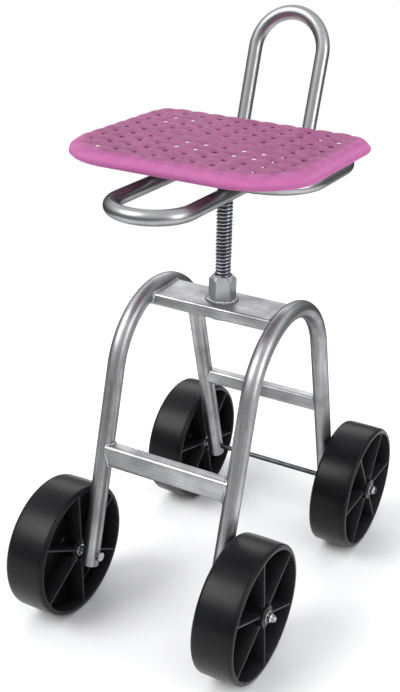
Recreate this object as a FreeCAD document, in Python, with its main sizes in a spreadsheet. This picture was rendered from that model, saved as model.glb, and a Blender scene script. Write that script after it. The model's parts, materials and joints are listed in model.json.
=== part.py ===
"""Rolling garden seat: a tube chassis on four wheels, a lift screw and a moulded seat with a back handle.

The frame has +X to the right along the axles, +Y to the rear, +Z up. The origin is on the ground,
straight below the lift screw. Sizes are in millimetres and degrees.
"""
import FreeCAD
import Part
import math
import os
import re
import Sketcher
from FreeCAD import Placement, Rotation, Vector

SIZES = {
    # Wheels
    "wheel_diameter": 203.0,
    "wheel_width": 62.0,
    "track": 300.0,
    "wheelbase": 378.0,
    "tread_round": 5.0,
    "rim_edge": 3.0,
    "rim_root": 5.0,
    "web_thickness": 5.0,
    "hub_diameter": 34.0,
    "hub_proud": 2.0,
    "rib_count": 6,
    "rib_thickness": 3.0,
    "rib_recess": 1.5,
    "front_left_turn": 0.0,
    "front_right_turn": 6.0,
    "rear_left_turn": 15.0,
    "rear_right_turn": 31.0,
    # Axles and their fasteners
    "axle_diameter": 8.0,
    "axle_running_clearance": 0.06,
    "axle_fixed_clearance": 0.2,
    "axle_end": 3.0,
    "axle_nut_flats": 13.0,
    "jam_nut_height": 5.5,
    "lock_nut_height": 8.0,
    "bolt_head_height": 5.3,
    "washer_diameter": 18.0,
    "washer_thickness": 1.6,
    "side_play": 0.3,
    # Chassis tubes
    "frame_tube_diameter": 25.0,
    "frame_tube_wall": 1.5,
    "arch_spacing": 208.0,
    "crown_height": 459.5,
    "crown_radius": 118.0,
    "leg_overhang": 16.0,
    "bridge_drop": 1.0,
    "bridge_depth": 70.0,
    "bridge_height": 18.0,
    "bridge_wall": 2.5,
    "bridge_corner": 4.0,
    "end_overlap": 6.0,
    "front_bar_level": 252.0,
    "front_bar_depth": 20.0,
    "front_bar_height": 33.0,
    "rear_bar_level": 256.0,
    "rear_bar_depth": 18.0,
    "rear_bar_height": 23.5,
    "bar_wall": 1.5,
    "bar_corner": 5.0,
    "weld_gap": 0.2,
    # Lift nut and screw
    "nut_flats": 34.0,
    "nut_height": 36.0,
    "nut_chamfer": 6.0,
    "nut_bead": 5.0,
    "screw_diameter": 22.0,
    "screw_running_clearance": 0.08,
    "bridge_bore_clearance": 1.0,
    "screw_foot_diameter": 14.0,
    "screw_head_diameter": 16.0,
    "screw_chamfer": 1.5,
    "collar_diameter": 34.0,
    "collar_thickness": 8.0,
    "collar_gap": 0.5,
    "plate_length": 130.0,
    "plate_depth": 60.0,
    "plate_thickness": 4.0,
    "plate_corner": 8.0,
    # Seat tubes
    "seat_tube_diameter": 19.0,
    "seat_tube_wall": 1.5,
    "rail_height": 637.5,
    "rail_spacing": 102.0,
    "loop_reach": 180.0,
    "back_bend_start": 106.0,
    "back_bend_radius": 40.0,
    "back_lean": 17.0,
    "back_top": 815.5,
    "rim_length": 300.0,
    "rim_depth": 200.0,
    "rim_corner": 63.0,
    # Moulded seat
    "seat_length": 338.0,
    "seat_depth": 292.0,
    "seat_height": 684.0,
    "rear_overhang": 8.0,
    "front_corner": 91.0,
    "rear_corner": 47.0,
    "seat_wall": 3.0,
    "roll_radius": 26.0,
    "roll_angle": 45.0,
    "lip_radius": 5.0,
    "lip_angle": 55.0,
    "rest_gap": 0.3,
    "seat_rib": 2.5,
    "hole_pitch": 27.0,
    "hole_side": 6.0,
    "hole_columns": 11,
    "hole_rows": 7,
    "edge_columns": 9,
    "boss_diameter": 12.0,
    "tab_spacing": 46.0,
    "tab_length": 34.0,
    "tab_depth": 28.0,
    "tab_thickness": 3.0,
    "seat_screw_diameter": 4.5,
    "seat_screw_clearance": 0.2,
    "pilot_clearance": 0.05,
    "seat_screw_bite": 9.0,
    "seat_screw_head": 9.0,
    "seat_screw_head_height": 3.0,
}

ALONG_X = Rotation(Vector(0, 1, 0), 90)
TURNED_ROUND = Rotation(Vector(0, 0, 1), 180)
SIDES = {"left": -1, "right": 1}
ENDS = {"front": -1, "rear": 1}

doc = FreeCAD.newDocument("rolling_garden_seat")
sheet = doc.addObject("Spreadsheet::Sheet", "sizes")
nodes = []


def fill_sheet():
    """Writes every driving size into the sheet, one alias to a row."""
    for row, (alias, number) in enumerate(SIZES.items(), start=1):
        sheet.set("A%d" % row, alias)
        sheet.set("B%d" % row, str(number))
        sheet.setAlias("B%d" % row, alias)
    doc.recompute()


def bound(formula):
    """A formula in aliases, written so that any object of the document can read it."""
    return re.sub(r"[a-z_]+", lambda word: "sizes." + word[0] if word[0] in SIZES else word[0], formula)


def number(formula):
    """The present value of a formula in aliases."""
    value = sheet.evalExpression(formula)
    return float(getattr(value, "Value", value))


# Formulas that more than one piece uses
AXLE_Y = "wheelbase / 2"
AXLE_Z = "wheel_diameter / 2"
ARCH_X = "arch_spacing / 2"
LEG_FACE = "(arch_spacing + frame_tube_diameter) / 2 + weld_gap"
HUB_INNER = LEG_FACE + " + jam_nut_height + washer_thickness + side_play"
HUB_OUTER = "(track + wheel_width) / 2 + hub_proud"
AXLE_TIP = HUB_OUTER + " + side_play + washer_thickness + lock_nut_height + axle_end"
BRIDGE_TOP = "(crown_height - bridge_drop)"
COLLAR_TOP = BRIDGE_TOP + " - bridge_height - collar_gap"
PLATE_BOTTOM = "rail_height - seat_tube_diameter / 2 - weld_gap - plate_thickness"
RIM_HEIGHT = "rail_height + seat_tube_diameter + weld_gap"
BOSS_X = "((rim_length - seat_tube_diameter - tab_length) / 2 - weld_gap)"
BOSS_Y = "tab_spacing / 2"
TAB_TOP = RIM_HEIGHT + " + tab_thickness / 2"
RIM_MIDDLE = "(seat_depth / 2 - rear_overhang - (rim_depth + seat_tube_diameter) / 2)"
ROLL_WIDTH = "(roll_radius * sin(roll_angle * 1deg) + lip_radius * (1 - sin(roll_angle * 1deg)))"


def leg_lean():
    """Angle of the legs from the vertical: each leg is tangent to the crown and meets its axle."""
    drop = number("crown_height - crown_radius - " + AXLE_Z)
    out = number(AXLE_Y)
    reach = math.hypot(out, drop)
    return math.degrees(math.acos(number("crown_radius") / reach) - math.atan2(drop, out))


def node(piece, label, placement=None):
    """Names a finished piece, sets its place and lists it for writing."""
    piece.Label = label
    if placement is not None:
        piece.Placement = placement
    nodes.append(piece)
    return piece


def new_body(name):
    """An empty body."""
    return doc.addObject("PartDesign::Body", name)


def origin_part(body, role):
    """One of a body's own origin planes or axes."""
    return next(part for part in body.Origin.OriginFeatures if part.Role == role)


def sketch_on(body, role, name, offset=None):
    """An empty sketch on one of a body's origin planes."""
    sketch = body.newObject("Sketcher::SketchObject", name)
    sketch.AttachmentSupport = [(origin_part(body, role), "")]
    sketch.MapMode = "FlatFace"
    if offset is not None:
        sketch.AttachmentOffset = offset
    return sketch


def drive(sketch, constraint, formula):
    """Adds a dimension and ties it to the sheet."""
    index = sketch.addConstraint(constraint)
    sketch.setExpression("Constraints[%d]" % index, bound(formula))


def pin(sketch, element, point, across, up):
    """Ties one point of a sketch element to two formulas, measured from the sketch's origin."""
    for kind, formula in (("DistanceX", across), ("DistanceY", up)):
        drive(sketch, Sketcher.Constraint(kind, -1, 1, element, point, number(formula)), formula)


def at(across, up):
    """A sketch point from two formulas."""
    return Vector(number(across), number(up), 0)


def draw_polygon(sketch, corners):
    """A closed outline of straight lines through corners given as pairs of formulas."""
    first = sketch.GeometryCount
    count = len(corners)
    for index, corner in enumerate(corners):
        sketch.addGeometry(Part.LineSegment(at(*corner), at(*corners[(index + 1) % count])))
    for index in range(count):
        following = first + (index + 1) % count
        sketch.addConstraint(Sketcher.Constraint("Coincident", first + index, 2, following, 1))
    for index, corner in enumerate(corners):
        pin(sketch, first + index, 1, *corner)


def draw_circle(sketch, across, up, diameter):
    """A circle of a given diameter about a point given as formulas."""
    index = sketch.addGeometry(Part.Circle(at(across, up), Vector(0, 0, 1), number(diameter) / 2))
    pin(sketch, index, 3, across, up)
    drive(sketch, Sketcher.Constraint("Diameter", index, number(diameter)), diameter)


def draw_tube_section(sketch, across, up, diameter, wall):
    """The two circles of a round tube."""
    draw_circle(sketch, across, up, diameter)
    draw_circle(sketch, across, up, "%s - 2 * (%s)" % (diameter, wall))


def draw_line(sketch, start, end):
    """A straight line between two points given as pairs of formulas."""
    return sketch.addGeometry(Part.LineSegment(at(*start), at(*end)))


def draw_arc(sketch, centre, radius, first, last):
    """An arc about a point, counterclockwise between two angles in degrees."""
    circle = Part.Circle(at(*centre), Vector(0, 0, 1), number(radius))
    return sketch.addGeometry(Part.ArcOfCircle(circle, math.radians(first), math.radians(last)))


def tie_arc(sketch, arc, centre, radius):
    """Ties an arc's centre and radius to the sheet."""
    pin(sketch, arc, 3, *centre)
    drive(sketch, Sketcher.Constraint("Radius", arc, number(radius)), radius)


def smooth(sketch, one, one_end, other, other_end):
    """Joins two sketch elements end to end without a corner."""
    sketch.addConstraint(Sketcher.Constraint("Tangent", one, one_end, other, other_end))


def draw_rounded_rectangle(sketch, length, depth, corner, middle="0"):
    """A rectangle with round corners, centred across and about a given height."""
    sides = {"across": "(%s) / 2" % length, "up": "(%s) / 2" % depth, "round": "(%s)" % corner}
    right, left = "{across}".format(**sides), "-{across}".format(**sides)
    top, bottom = "{0} + {up}".format(middle, **sides), "{0} - {up}".format(middle, **sides)
    inner_right, inner_left = right + " - " + sides["round"], left + " + " + sides["round"]
    inner_top, inner_bottom = top + " - " + sides["round"], bottom + " + " + sides["round"]
    lines = [
        draw_line(sketch, (inner_left, bottom), (inner_right, bottom)),
        draw_line(sketch, (right, inner_bottom), (right, inner_top)),
        draw_line(sketch, (inner_right, top), (inner_left, top)),
        draw_line(sketch, (left, inner_top), (left, inner_bottom)),
    ]
    corners = {
        270: (inner_right, inner_bottom),
        0: (inner_right, inner_top),
        90: (inner_left, inner_top),
        180: (inner_left, inner_bottom),
    }
    arcs = [draw_arc(sketch, centre, corner, start, start + 90) for start, centre in corners.items()]
    for index in range(4):
        smooth(sketch, lines[index], 2, arcs[index], 1)
        smooth(sketch, arcs[index], 2, lines[(index + 1) % 4], 1)
    for line, kind, formula in zip(lines, ("DistanceY", "DistanceX") * 2, (bottom, right, top, left)):
        drive(sketch, Sketcher.Constraint(kind, -1, 1, line, 1, number(formula)), formula)
        sketch.addConstraint(Sketcher.Constraint("Horizontal" if kind == "DistanceY" else "Vertical", line))
    drive(sketch, Sketcher.Constraint("Radius", arcs[0], number(corner)), corner)
    for arc in arcs[1:]:
        sketch.addConstraint(Sketcher.Constraint("Equal", arcs[0], arc))


def draw_hexagon(sketch, flats):
    """A regular hexagon about the origin with two corners on the upright axis."""
    corner = "(%s) / sqrt(3)" % flats
    half, quarter = "(%s) / 2" % flats, "(%s) / sqrt(12)" % flats
    draw_polygon(sketch, [
        ("0", corner), ("-" + half, quarter), ("-" + half, "-" + quarter),
        ("0", "-" + corner), (half, "-" + quarter), (half, quarter),
    ])


def feature(body, kind, name, sketch=None, **settings):
    """Adds a feature to a body; text settings with an alias in them are tied to the sheet."""
    added = body.newObject("PartDesign::" + kind, name)
    if sketch is not None:
        added.Profile = sketch
        sketch.Visibility = False
    for key, setting in settings.items():
        if isinstance(setting, str) and any(word in SIZES for word in re.findall(r"[a-z_]+", setting)):
            added.setExpression(key, bound(setting))
        else:
            setattr(added, key, setting)
    return added


def mirror(body, plane, originals):
    """Mirrors features of a body about one of its origin planes, and makes the result the body's tip."""
    mirrored = body.newObject("PartDesign::Mirrored", "Mirrored")
    mirrored.Originals = originals
    mirrored.MirrorPlane = (origin_part(body, plane), [""])
    body.Tip = mirrored
    return mirrored


def pipe(body, section, spine):
    """Carries a section along a spine."""
    swept = feature(body, "AdditivePipe", "Pipe", section)
    swept.Spine = (spine, [])
    spine.Visibility = False
    return swept


def arch_tube(side):
    """One arch: a crown bend with a straight leg on each side, cross-drilled for the axles."""
    body = new_body(side + "_arch")
    lean = leg_lean()
    spine = sketch_on(body, "YZ_Plane", side + "_arch_line")
    crown_centre = ("0", "crown_height - crown_radius")
    crown = draw_arc(spine, crown_centre, "crown_radius", lean, 90)
    tie_arc(spine, crown, crown_centre, "crown_radius")
    spine.addConstraint(Sketcher.Constraint("PointOnObject", crown, 2, -2))
    axle = spine.addGeometry(Part.Point(at(AXLE_Y, AXLE_Z)), True)
    pin(spine, axle, 1, AXLE_Y, AXLE_Z)
    down = Vector(math.sin(math.radians(lean)), -math.cos(math.radians(lean)), 0)
    foot = at(AXLE_Y, AXLE_Z) + down * number("leg_overhang")
    leg = spine.addGeometry(Part.LineSegment(spine.getPoint(crown, 1), foot))
    smooth(spine, crown, 1, leg, 1)
    spine.addConstraint(Sketcher.Constraint("PointOnObject", axle, 1, leg))
    drive(spine, Sketcher.Constraint("Distance", axle, 1, leg, 2, number("leg_overhang")), "leg_overhang")
    section = sketch_on(body, "XZ_Plane", side + "_arch_section")
    draw_tube_section(section, "0", "crown_height", "frame_tube_diameter", "frame_tube_wall")
    half = pipe(body, section, spine)
    mirror(body, "XZ_Plane", [half])
    drilled = sketch_on(body, "YZ_Plane", side + "_axle_holes")
    for sign in ("", "-"):
        draw_circle(drilled, "%s(%s)" % (sign, AXLE_Y), AXLE_Z, "axle_diameter + 2 * axle_fixed_clearance")
    feature(body, "Pocket", "AxleHoles", drilled, SideType="Symmetric", Length="2 * frame_tube_diameter")
    place = Placement(Vector(SIDES[side] * number(ARCH_X), 0, 0), Rotation())
    return node(body, side + "_arch_tube", place)


def bridge_tube():
    """The flat tube between the crowns, its ends coped round the arch tubes and bored for the screw."""
    body = new_body("bridge")
    section = sketch_on(body, "YZ_Plane", "bridge_section")
    middle = BRIDGE_TOP + " - bridge_height / 2"
    draw_rounded_rectangle(section, "bridge_depth", "bridge_height", "bridge_corner", middle)
    draw_rounded_rectangle(section, "bridge_depth - 2 * bridge_wall", "bridge_height - 2 * bridge_wall",
                           "bridge_corner - bridge_wall", middle)
    feature(body, "Pad", "Tube", section, SideType="Symmetric",
            Length="arch_spacing - frame_tube_diameter + 2 * end_overlap")
    cope = sketch_on(body, "XZ_Plane", "bridge_cope")
    for sign in ("", "-"):
        draw_circle(cope, sign + ARCH_X, "crown_height", "frame_tube_diameter + 2 * weld_gap")
    axis_height = "crown_height - crown_radius"
    axis = draw_line(cope, ("-arch_spacing / 2", axis_height), (ARCH_X, axis_height))
    cope.toggleConstruction(axis)
    pin(cope, axis, 1, "-arch_spacing / 2", axis_height)
    pin(cope, axis, 2, ARCH_X, axis_height)
    feature(body, "Groove", "Cope", cope, ReferenceAxis=(cope, ["Axis0"]), Angle=360)
    bore = sketch_on(body, "XY_Plane", "bridge_bore")
    draw_circle(bore, "0", "0", "screw_diameter + 2 * bridge_bore_clearance")
    feature(body, "Pocket", "ScrewBore", bore, SideType="Symmetric", Length="4 * crown_height")
    return node(body, "bridge_tube")


def crossbar(end):
    """A rectangular tube between two legs, its ends coped round them."""
    depth, height, level = end + "_bar_depth", end + "_bar_height", end + "_bar_level"
    body = new_body(end + "_bar")
    section = sketch_on(body, "YZ_Plane", end + "_bar_section")
    draw_rounded_rectangle(section, depth, height, "bar_corner")
    draw_rounded_rectangle(section, depth + " - 2 * bar_wall", height + " - 2 * bar_wall",
                           "bar_corner - bar_wall")
    feature(body, "Pad", "Tube", section, SideType="Symmetric",
            Length="arch_spacing - frame_tube_diameter + 2 * end_overlap")
    lean = leg_lean()
    along_leg = Rotation(Vector(1, 0, 0), ENDS[end] * lean)
    cut_length = 4 * number(height)
    start = Vector(number(ARCH_X), 0, 0) - along_leg.multVec(Vector(0, 0, cut_length / 2))
    cope = feature(body, "SubtractiveCylinder", "Cope", Radius="frame_tube_diameter / 2 + weld_gap",
                   Height="4 * " + height)
    cope.AttachmentSupport = [(origin_part(body, "XY_Plane"), "")]
    cope.MapMode = "FlatFace"
    cope.AttachmentOffset = Placement(start, along_leg)
    mirror(body, "YZ_Plane", [cope])
    out = number(AXLE_Y) - number(level + " - " + AXLE_Z) * math.tan(math.radians(lean))
    place = Placement(Vector(0, ENDS[end] * out, number(level)), Rotation())
    return node(body, end + "_crossbar", place)


def on_bridge():
    """Where the nut and its weld stand: on top of the bridge."""
    return Placement(Vector(0, 0, number(BRIDGE_TOP)), Rotation())


def lift_nut():
    """The tall hexagon nut on the bridge, chamfered at the top."""
    body = new_body("nut")
    hexagon = sketch_on(body, "XY_Plane", "nut_hexagon")
    draw_hexagon(hexagon, "nut_flats")
    feature(body, "Pad", "Blank", hexagon, Length="nut_height")
    chamfer = sketch_on(body, "XZ_Plane", "nut_chamfer_cut")
    top_radius, past_corner = "nut_flats / 2 - nut_chamfer / 2", "nut_flats / sqrt(3) + nut_chamfer"
    draw_polygon(chamfer, [(top_radius, "nut_height"), (past_corner, "nut_height"),
                           (past_corner, "nut_height - (%s - (%s))" % (past_corner, top_radius))])
    feature(body, "Groove", "Chamfer", chamfer, ReferenceAxis=(chamfer, ["V_Axis"]), Angle=360)
    bore = sketch_on(body, "XY_Plane", "nut_bore")
    draw_circle(bore, "0", "0", "screw_diameter + 2 * screw_running_clearance")
    feature(body, "Pocket", "Bore", bore, SideType="Symmetric", Length="4 * nut_height")
    return node(body, "lift_nut", on_bridge())


def nut_weld_bead():
    """The weld round the foot of the nut: a bevelled ring cut out to the hexagon."""
    body = new_body("bead")
    ring = sketch_on(body, "XZ_Plane", "bead_ring")
    inner, outer = "nut_flats / 3", "nut_flats / sqrt(3) + nut_bead"
    draw_polygon(ring, [(inner, "0"), (outer, "0"), (outer + " - nut_bead * 0.35", "nut_bead * 0.65"),
                        (outer + " - nut_bead", "nut_bead"), (inner, "nut_bead")])
    feature(body, "Revolution", "Ring", ring, ReferenceAxis=(ring, ["V_Axis"]), Angle=360)
    hexagon = sketch_on(body, "XY_Plane", "bead_hexagon")
    draw_hexagon(hexagon, "nut_flats + 2 * weld_gap")
    feature(body, "Pocket", "NutSeat", hexagon, SideType="Symmetric", Length="4 * nut_bead")
    return node(body, "nut_weld_bead", on_bridge())


def wheel(end, side):
    """A moulded wheel: a revolved rim, web and hub, with a star of ribs on both sides of the web."""
    label = "%s_%s_wheel" % (end, side)
    body = new_body(label + "_body")
    section = sketch_on(body, "XZ_Plane", label + "_section")
    tread, bore = "wheel_diameter / 2", "axle_diameter / 2 + axle_running_clearance"
    face, web, hub = "wheel_width / 2", "web_thickness / 2", "hub_diameter / 2"
    hub_out, hub_in = HUB_OUTER + " - track / 2", HUB_INNER + " - track / 2"
    draw_polygon(section, [
        (hub_in, bore), (hub_out, bore), (hub_out, hub), (web, hub),
        (web, tread + " - tread_round - rim_root"),
        (face, tread + " - tread_round - rim_edge"), (face, tread), ("-" + face, tread),
        ("-" + face, tread + " - tread_round - rim_edge"),
        ("-" + web, tread + " - tread_round - rim_root"), ("-" + web, hub), (hub_in, hub),
    ])
    feature(body, "Revolution", "Turned", section, ReferenceAxis=(section, ["H_Axis"]), Angle=360)
    ribs = sketch_on(body, "XZ_Plane", label + "_ribs")
    root, tip = "hub_diameter / 3", tread + " - tread_round - rim_edge / 2"
    rib_in, rib_out = "web_thickness / 4", "wheel_width / 2 - rib_recess"
    for sign in ("", "-"):
        low, high = sign + rib_in, sign + "(%s)" % rib_out
        draw_polygon(ribs, [(low, root), (high, root), (high, tip), (low, tip)])
    rib = feature(body, "Pad", "Rib", ribs, SideType="Symmetric", Length="rib_thickness")
    axis = (origin_part(body, "X_Axis"), [""])
    star = feature(body, "PolarPattern", "Star", Originals=[rib], Axis=axis, Angle=360,
                   Occurrences="rib_count")
    body.Tip = star
    doc.recompute()
    corners = [
        "Edge%d" % (index + 1) for index, edge in enumerate(star.Shape.Edges)
        if isinstance(edge.Curve, Part.Circle) and abs(edge.Curve.Radius - number(tread)) < 1e-6
    ]
    feature(body, "Fillet", "TreadRound", Base=(star, corners), Radius="tread_round")
    turn = Rotation(Vector(1, 0, 0), number("%s_%s_turn" % (end, side)))
    if side == "left":
        turn = turn.multiply(TURNED_ROUND)
    place = Vector(SIDES[side] * number("track / 2"), ENDS[end] * number(AXLE_Y), number(AXLE_Z))
    return node(body, label, Placement(place, turn))


def primitive(kind, name, **formulas):
    """A Part primitive whose sizes are tied to the sheet."""
    solid = doc.addObject("Part::" + kind, name)
    for key, formula in formulas.items():
        solid.setExpression(key, bound(formula))
    return solid


def cut(name, base, tool):
    """One solid less another."""
    result = doc.addObject("Part::Cut", name)
    result.Base = base
    result.Tool = tool
    return result


def hex_prism(name, flats, height):
    """A hexagon bar end."""
    prism = primitive("Prism", name, Circumradius="(%s) / sqrt(3)" % flats, Height=height)
    prism.Polygon = 6
    return prism


def drilled_disc(name, diameter, height, bore):
    """A round washer or collar."""
    disc = primitive("Cylinder", name + "_disc", Radius="(%s) / 2" % diameter, Height=height)
    hole = primitive("Cylinder", name + "_hole", Radius="(%s) / 2" % bore, Height=height)
    return cut(name, disc, hole)


def drilled_hexagon(name, flats, height, bore):
    """A plain hexagon nut."""
    hole = primitive("Cylinder", name + "_hole", Radius="(%s) / 2" % bore, Height=height)
    return cut(name, hex_prism(name + "_hexagon", flats, height), hole)


def group(label, pieces):
    """Like pieces that share one node, as separate solids."""
    compound = doc.addObject("Part::Compound", label + "_group")
    compound.Links = pieces
    return node(compound, label)


def on_axle(piece, end, side, start):
    """Stands a piece on an axle, growing outwards from a distance along it."""
    outwards = Rotation(Vector(0, 1, 0), SIDES[side] * 90)
    base = Vector(SIDES[side] * number(start), ENDS[end] * number(AXLE_Y), number(AXLE_Z))
    piece.Placement = Placement(base, outwards)
    return piece


def axle_fasteners():
    """The nuts and washers on the four axle ends, from the leg outwards."""
    bore = "axle_diameter + 2 * axle_fixed_clearance"
    washer_start = LEG_FACE + " + jam_nut_height"
    outer_start = HUB_OUTER + " + side_play"
    rows = {
        "axle_jam_nuts": (drilled_hexagon, "axle_nut_flats", "jam_nut_height", LEG_FACE),
        "axle_inner_washers": (drilled_disc, "washer_diameter", "washer_thickness", washer_start),
        "axle_outer_washers": (drilled_disc, "washer_diameter", "washer_thickness", outer_start),
        "axle_lock_nuts": (
            drilled_hexagon, "axle_nut_flats", "lock_nut_height", outer_start + " + washer_thickness"),
    }
    for label, (make, across, height, start) in rows.items():
        pieces = []
        for end in ENDS:
            for side in SIDES:
                piece = make("%s_%s_%s" % (label, end, side), across, height, bore)
                pieces.append(on_axle(piece, end, side, start))
        group(label, pieces)


def rear_axle_rod():
    """The rod right through both rear legs and wheels."""
    rod = primitive("Cylinder", "rear_rod", Radius="axle_diameter / 2", Height="2 * (%s)" % AXLE_TIP)
    place = Vector(-number(AXLE_TIP), number(AXLE_Y), number(AXLE_Z))
    return node(rod, "rear_axle_rod", Placement(place, ALONG_X))


def front_axle_bolt(side):
    """The bolt through one front leg and its wheel, with its head inside the leg."""
    seat = "(arch_spacing - frame_tube_diameter) / 2 - weld_gap"
    name = side + "_bolt"
    head = hex_prism(name + "_head", "axle_nut_flats", "bolt_head_height")
    shank = primitive("Cylinder", name + "_shank", Radius="axle_diameter / 2",
                      Height="bolt_head_height + (%s) - (%s)" % (AXLE_TIP, seat))
    bolt = doc.addObject("Part::Fuse", name)
    bolt.Base = head
    bolt.Tool = shank
    on_axle(bolt, "front", side, "(%s) - bolt_head_height" % seat)
    return node(bolt, "front_%s_axle_bolt" % side)


def lift_screw():
    """The screw as a turned bar: a foot for the collar, the full body, and a head set into the plate."""
    body = new_body("screw")
    section = sketch_on(body, "XZ_Plane", "screw_section")
    foot, shaft, head = "screw_foot_diameter / 2", "screw_diameter / 2", "screw_head_diameter / 2"
    shoulder, seat = COLLAR_TOP + " + side_play", PLATE_BOTTOM + " - weld_gap"
    top = PLATE_BOTTOM + " + plate_thickness"
    bottom = COLLAR_TOP + " - collar_thickness - screw_chamfer"
    draw_polygon(section, [
        ("0", bottom), (foot + " - screw_chamfer", bottom), (foot, bottom + " + screw_chamfer"),
        (foot, shoulder),
        (shaft, shoulder), (shaft, seat), (head, seat), (head, top), ("0", top),
    ])
    feature(body, "Revolution", "Turned", section, ReferenceAxis=(section, ["V_Axis"]), Angle=360)
    return node(body, "lift_screw")


def stop_collar():
    """The collar on the screw's foot that stops it from leaving the nut."""
    bore = "screw_foot_diameter + 2 * screw_running_clearance"
    collar = drilled_disc("collar", "collar_diameter", "collar_thickness", bore)
    place = Placement(Vector(0, 0, number(COLLAR_TOP + " - collar_thickness")), Rotation())
    return node(collar, "stop_collar", place)


def screw_top_plate():
    """The plate under the rails that takes the head of the screw."""
    body = new_body("plate")
    outline = sketch_on(body, "XY_Plane", "plate_outline")
    draw_rounded_rectangle(outline, "plate_length", "plate_depth", "plate_corner")
    draw_circle(outline, "0", "0", "screw_head_diameter + 2 * weld_gap")
    feature(body, "Pad", "Plate", outline, Length="plate_thickness")
    return node(body, "screw_top_plate", Placement(Vector(0, 0, number(PLATE_BOTTOM)), Rotation()))


def draw_bar(sketch, across, along, length, depth):
    """A plain rectangle about a middle point."""
    left, right = ["%s %s (%s) / 2" % (across, sign, length) for sign in "-+"]
    front, rear = ["%s %s (%s) / 2" % (along, sign, depth) for sign in "-+"]
    draw_polygon(sketch, [(left, front), (right, front), (right, rear), (left, rear)])


def sink(sketch, depth):
    """Lowers a sketch below the plane that it lies on."""
    sketch.AttachmentOffset = Placement(Vector(0, 0, -number(depth)), Rotation())
    sketch.setExpression("AttachmentOffset.Base.z", bound("-(%s)" % depth))


def draw_half_ring(sketch, half_length, half_depth, corner):
    """The rear half of a rounded rectangle as an open line, from one side's middle round to the other's."""
    inner_length, inner_depth = "%s - (%s)" % (half_length, corner), "%s - (%s)" % (half_depth, corner)
    right = draw_line(sketch, (half_length, "0"), (half_length, inner_depth))
    first = draw_arc(sketch, (inner_length, inner_depth), corner, 0, 90)
    rear = draw_line(sketch, (inner_length, half_depth), ("-(%s)" % inner_length, half_depth))
    second = draw_arc(sketch, ("-(%s)" % inner_length, inner_depth), corner, 90, 180)
    left = draw_line(sketch, ("-(%s)" % half_length, inner_depth), ("-(%s)" % half_length, "0"))
    chain = (right, first, rear, second, left)
    for one, other in zip(chain, chain[1:]):
        smooth(sketch, one, 2, other, 1)
    pin(sketch, right, 1, half_length, "0")
    pin(sketch, left, 2, "-(%s)" % half_length, "0")
    tie_arc(sketch, first, (inner_length, inner_depth), corner)
    tie_arc(sketch, second, ("-(%s)" % inner_length, inner_depth), corner)


def seat_rim_tube():
    """The closed ring of tube under the seat, half swept and half mirrored."""
    body = new_body("rim")
    spine = sketch_on(body, "XY_Plane", "rim_line")
    draw_half_ring(spine, "rim_length / 2", "rim_depth / 2", "rim_corner")
    section = sketch_on(body, "XZ_Plane", "rim_section")
    draw_tube_section(section, "rim_length / 2", "0", "seat_tube_diameter", "seat_tube_wall")
    mirror(body, "XZ_Plane", [pipe(body, section, spine)])
    return node(body, "seat_rim_tube", Placement(Vector(0, 0, number(RIM_HEIGHT)), Rotation()))


def front_loop_tube():
    """The front U: a half-round loop with two rails that run back to the plate."""
    body = new_body("loop")
    spine = sketch_on(body, "XY_Plane", "loop_line")
    rail, turn = "rail_spacing / 2", ("0", "-loop_reach")
    bend = draw_arc(spine, turn, rail, 270, 360)
    tie_arc(spine, bend, turn, rail)
    spine.addConstraint(Sketcher.Constraint("PointOnObject", bend, 1, -2))
    straight = draw_line(spine, (rail, "-loop_reach"), (rail, "-weld_gap / 2"))
    smooth(spine, bend, 2, straight, 1)
    pin(spine, straight, 2, rail, "-weld_gap / 2")
    section = sketch_on(body, "YZ_Plane", "loop_section")
    front = "-loop_reach - rail_spacing / 2"
    draw_tube_section(section, front, "0", "seat_tube_diameter", "seat_tube_wall")
    mirror(body, "YZ_Plane", [pipe(body, section, spine)])
    return node(body, "front_loop_tube", Placement(Vector(0, 0, number("rail_height")), Rotation()))


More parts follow.
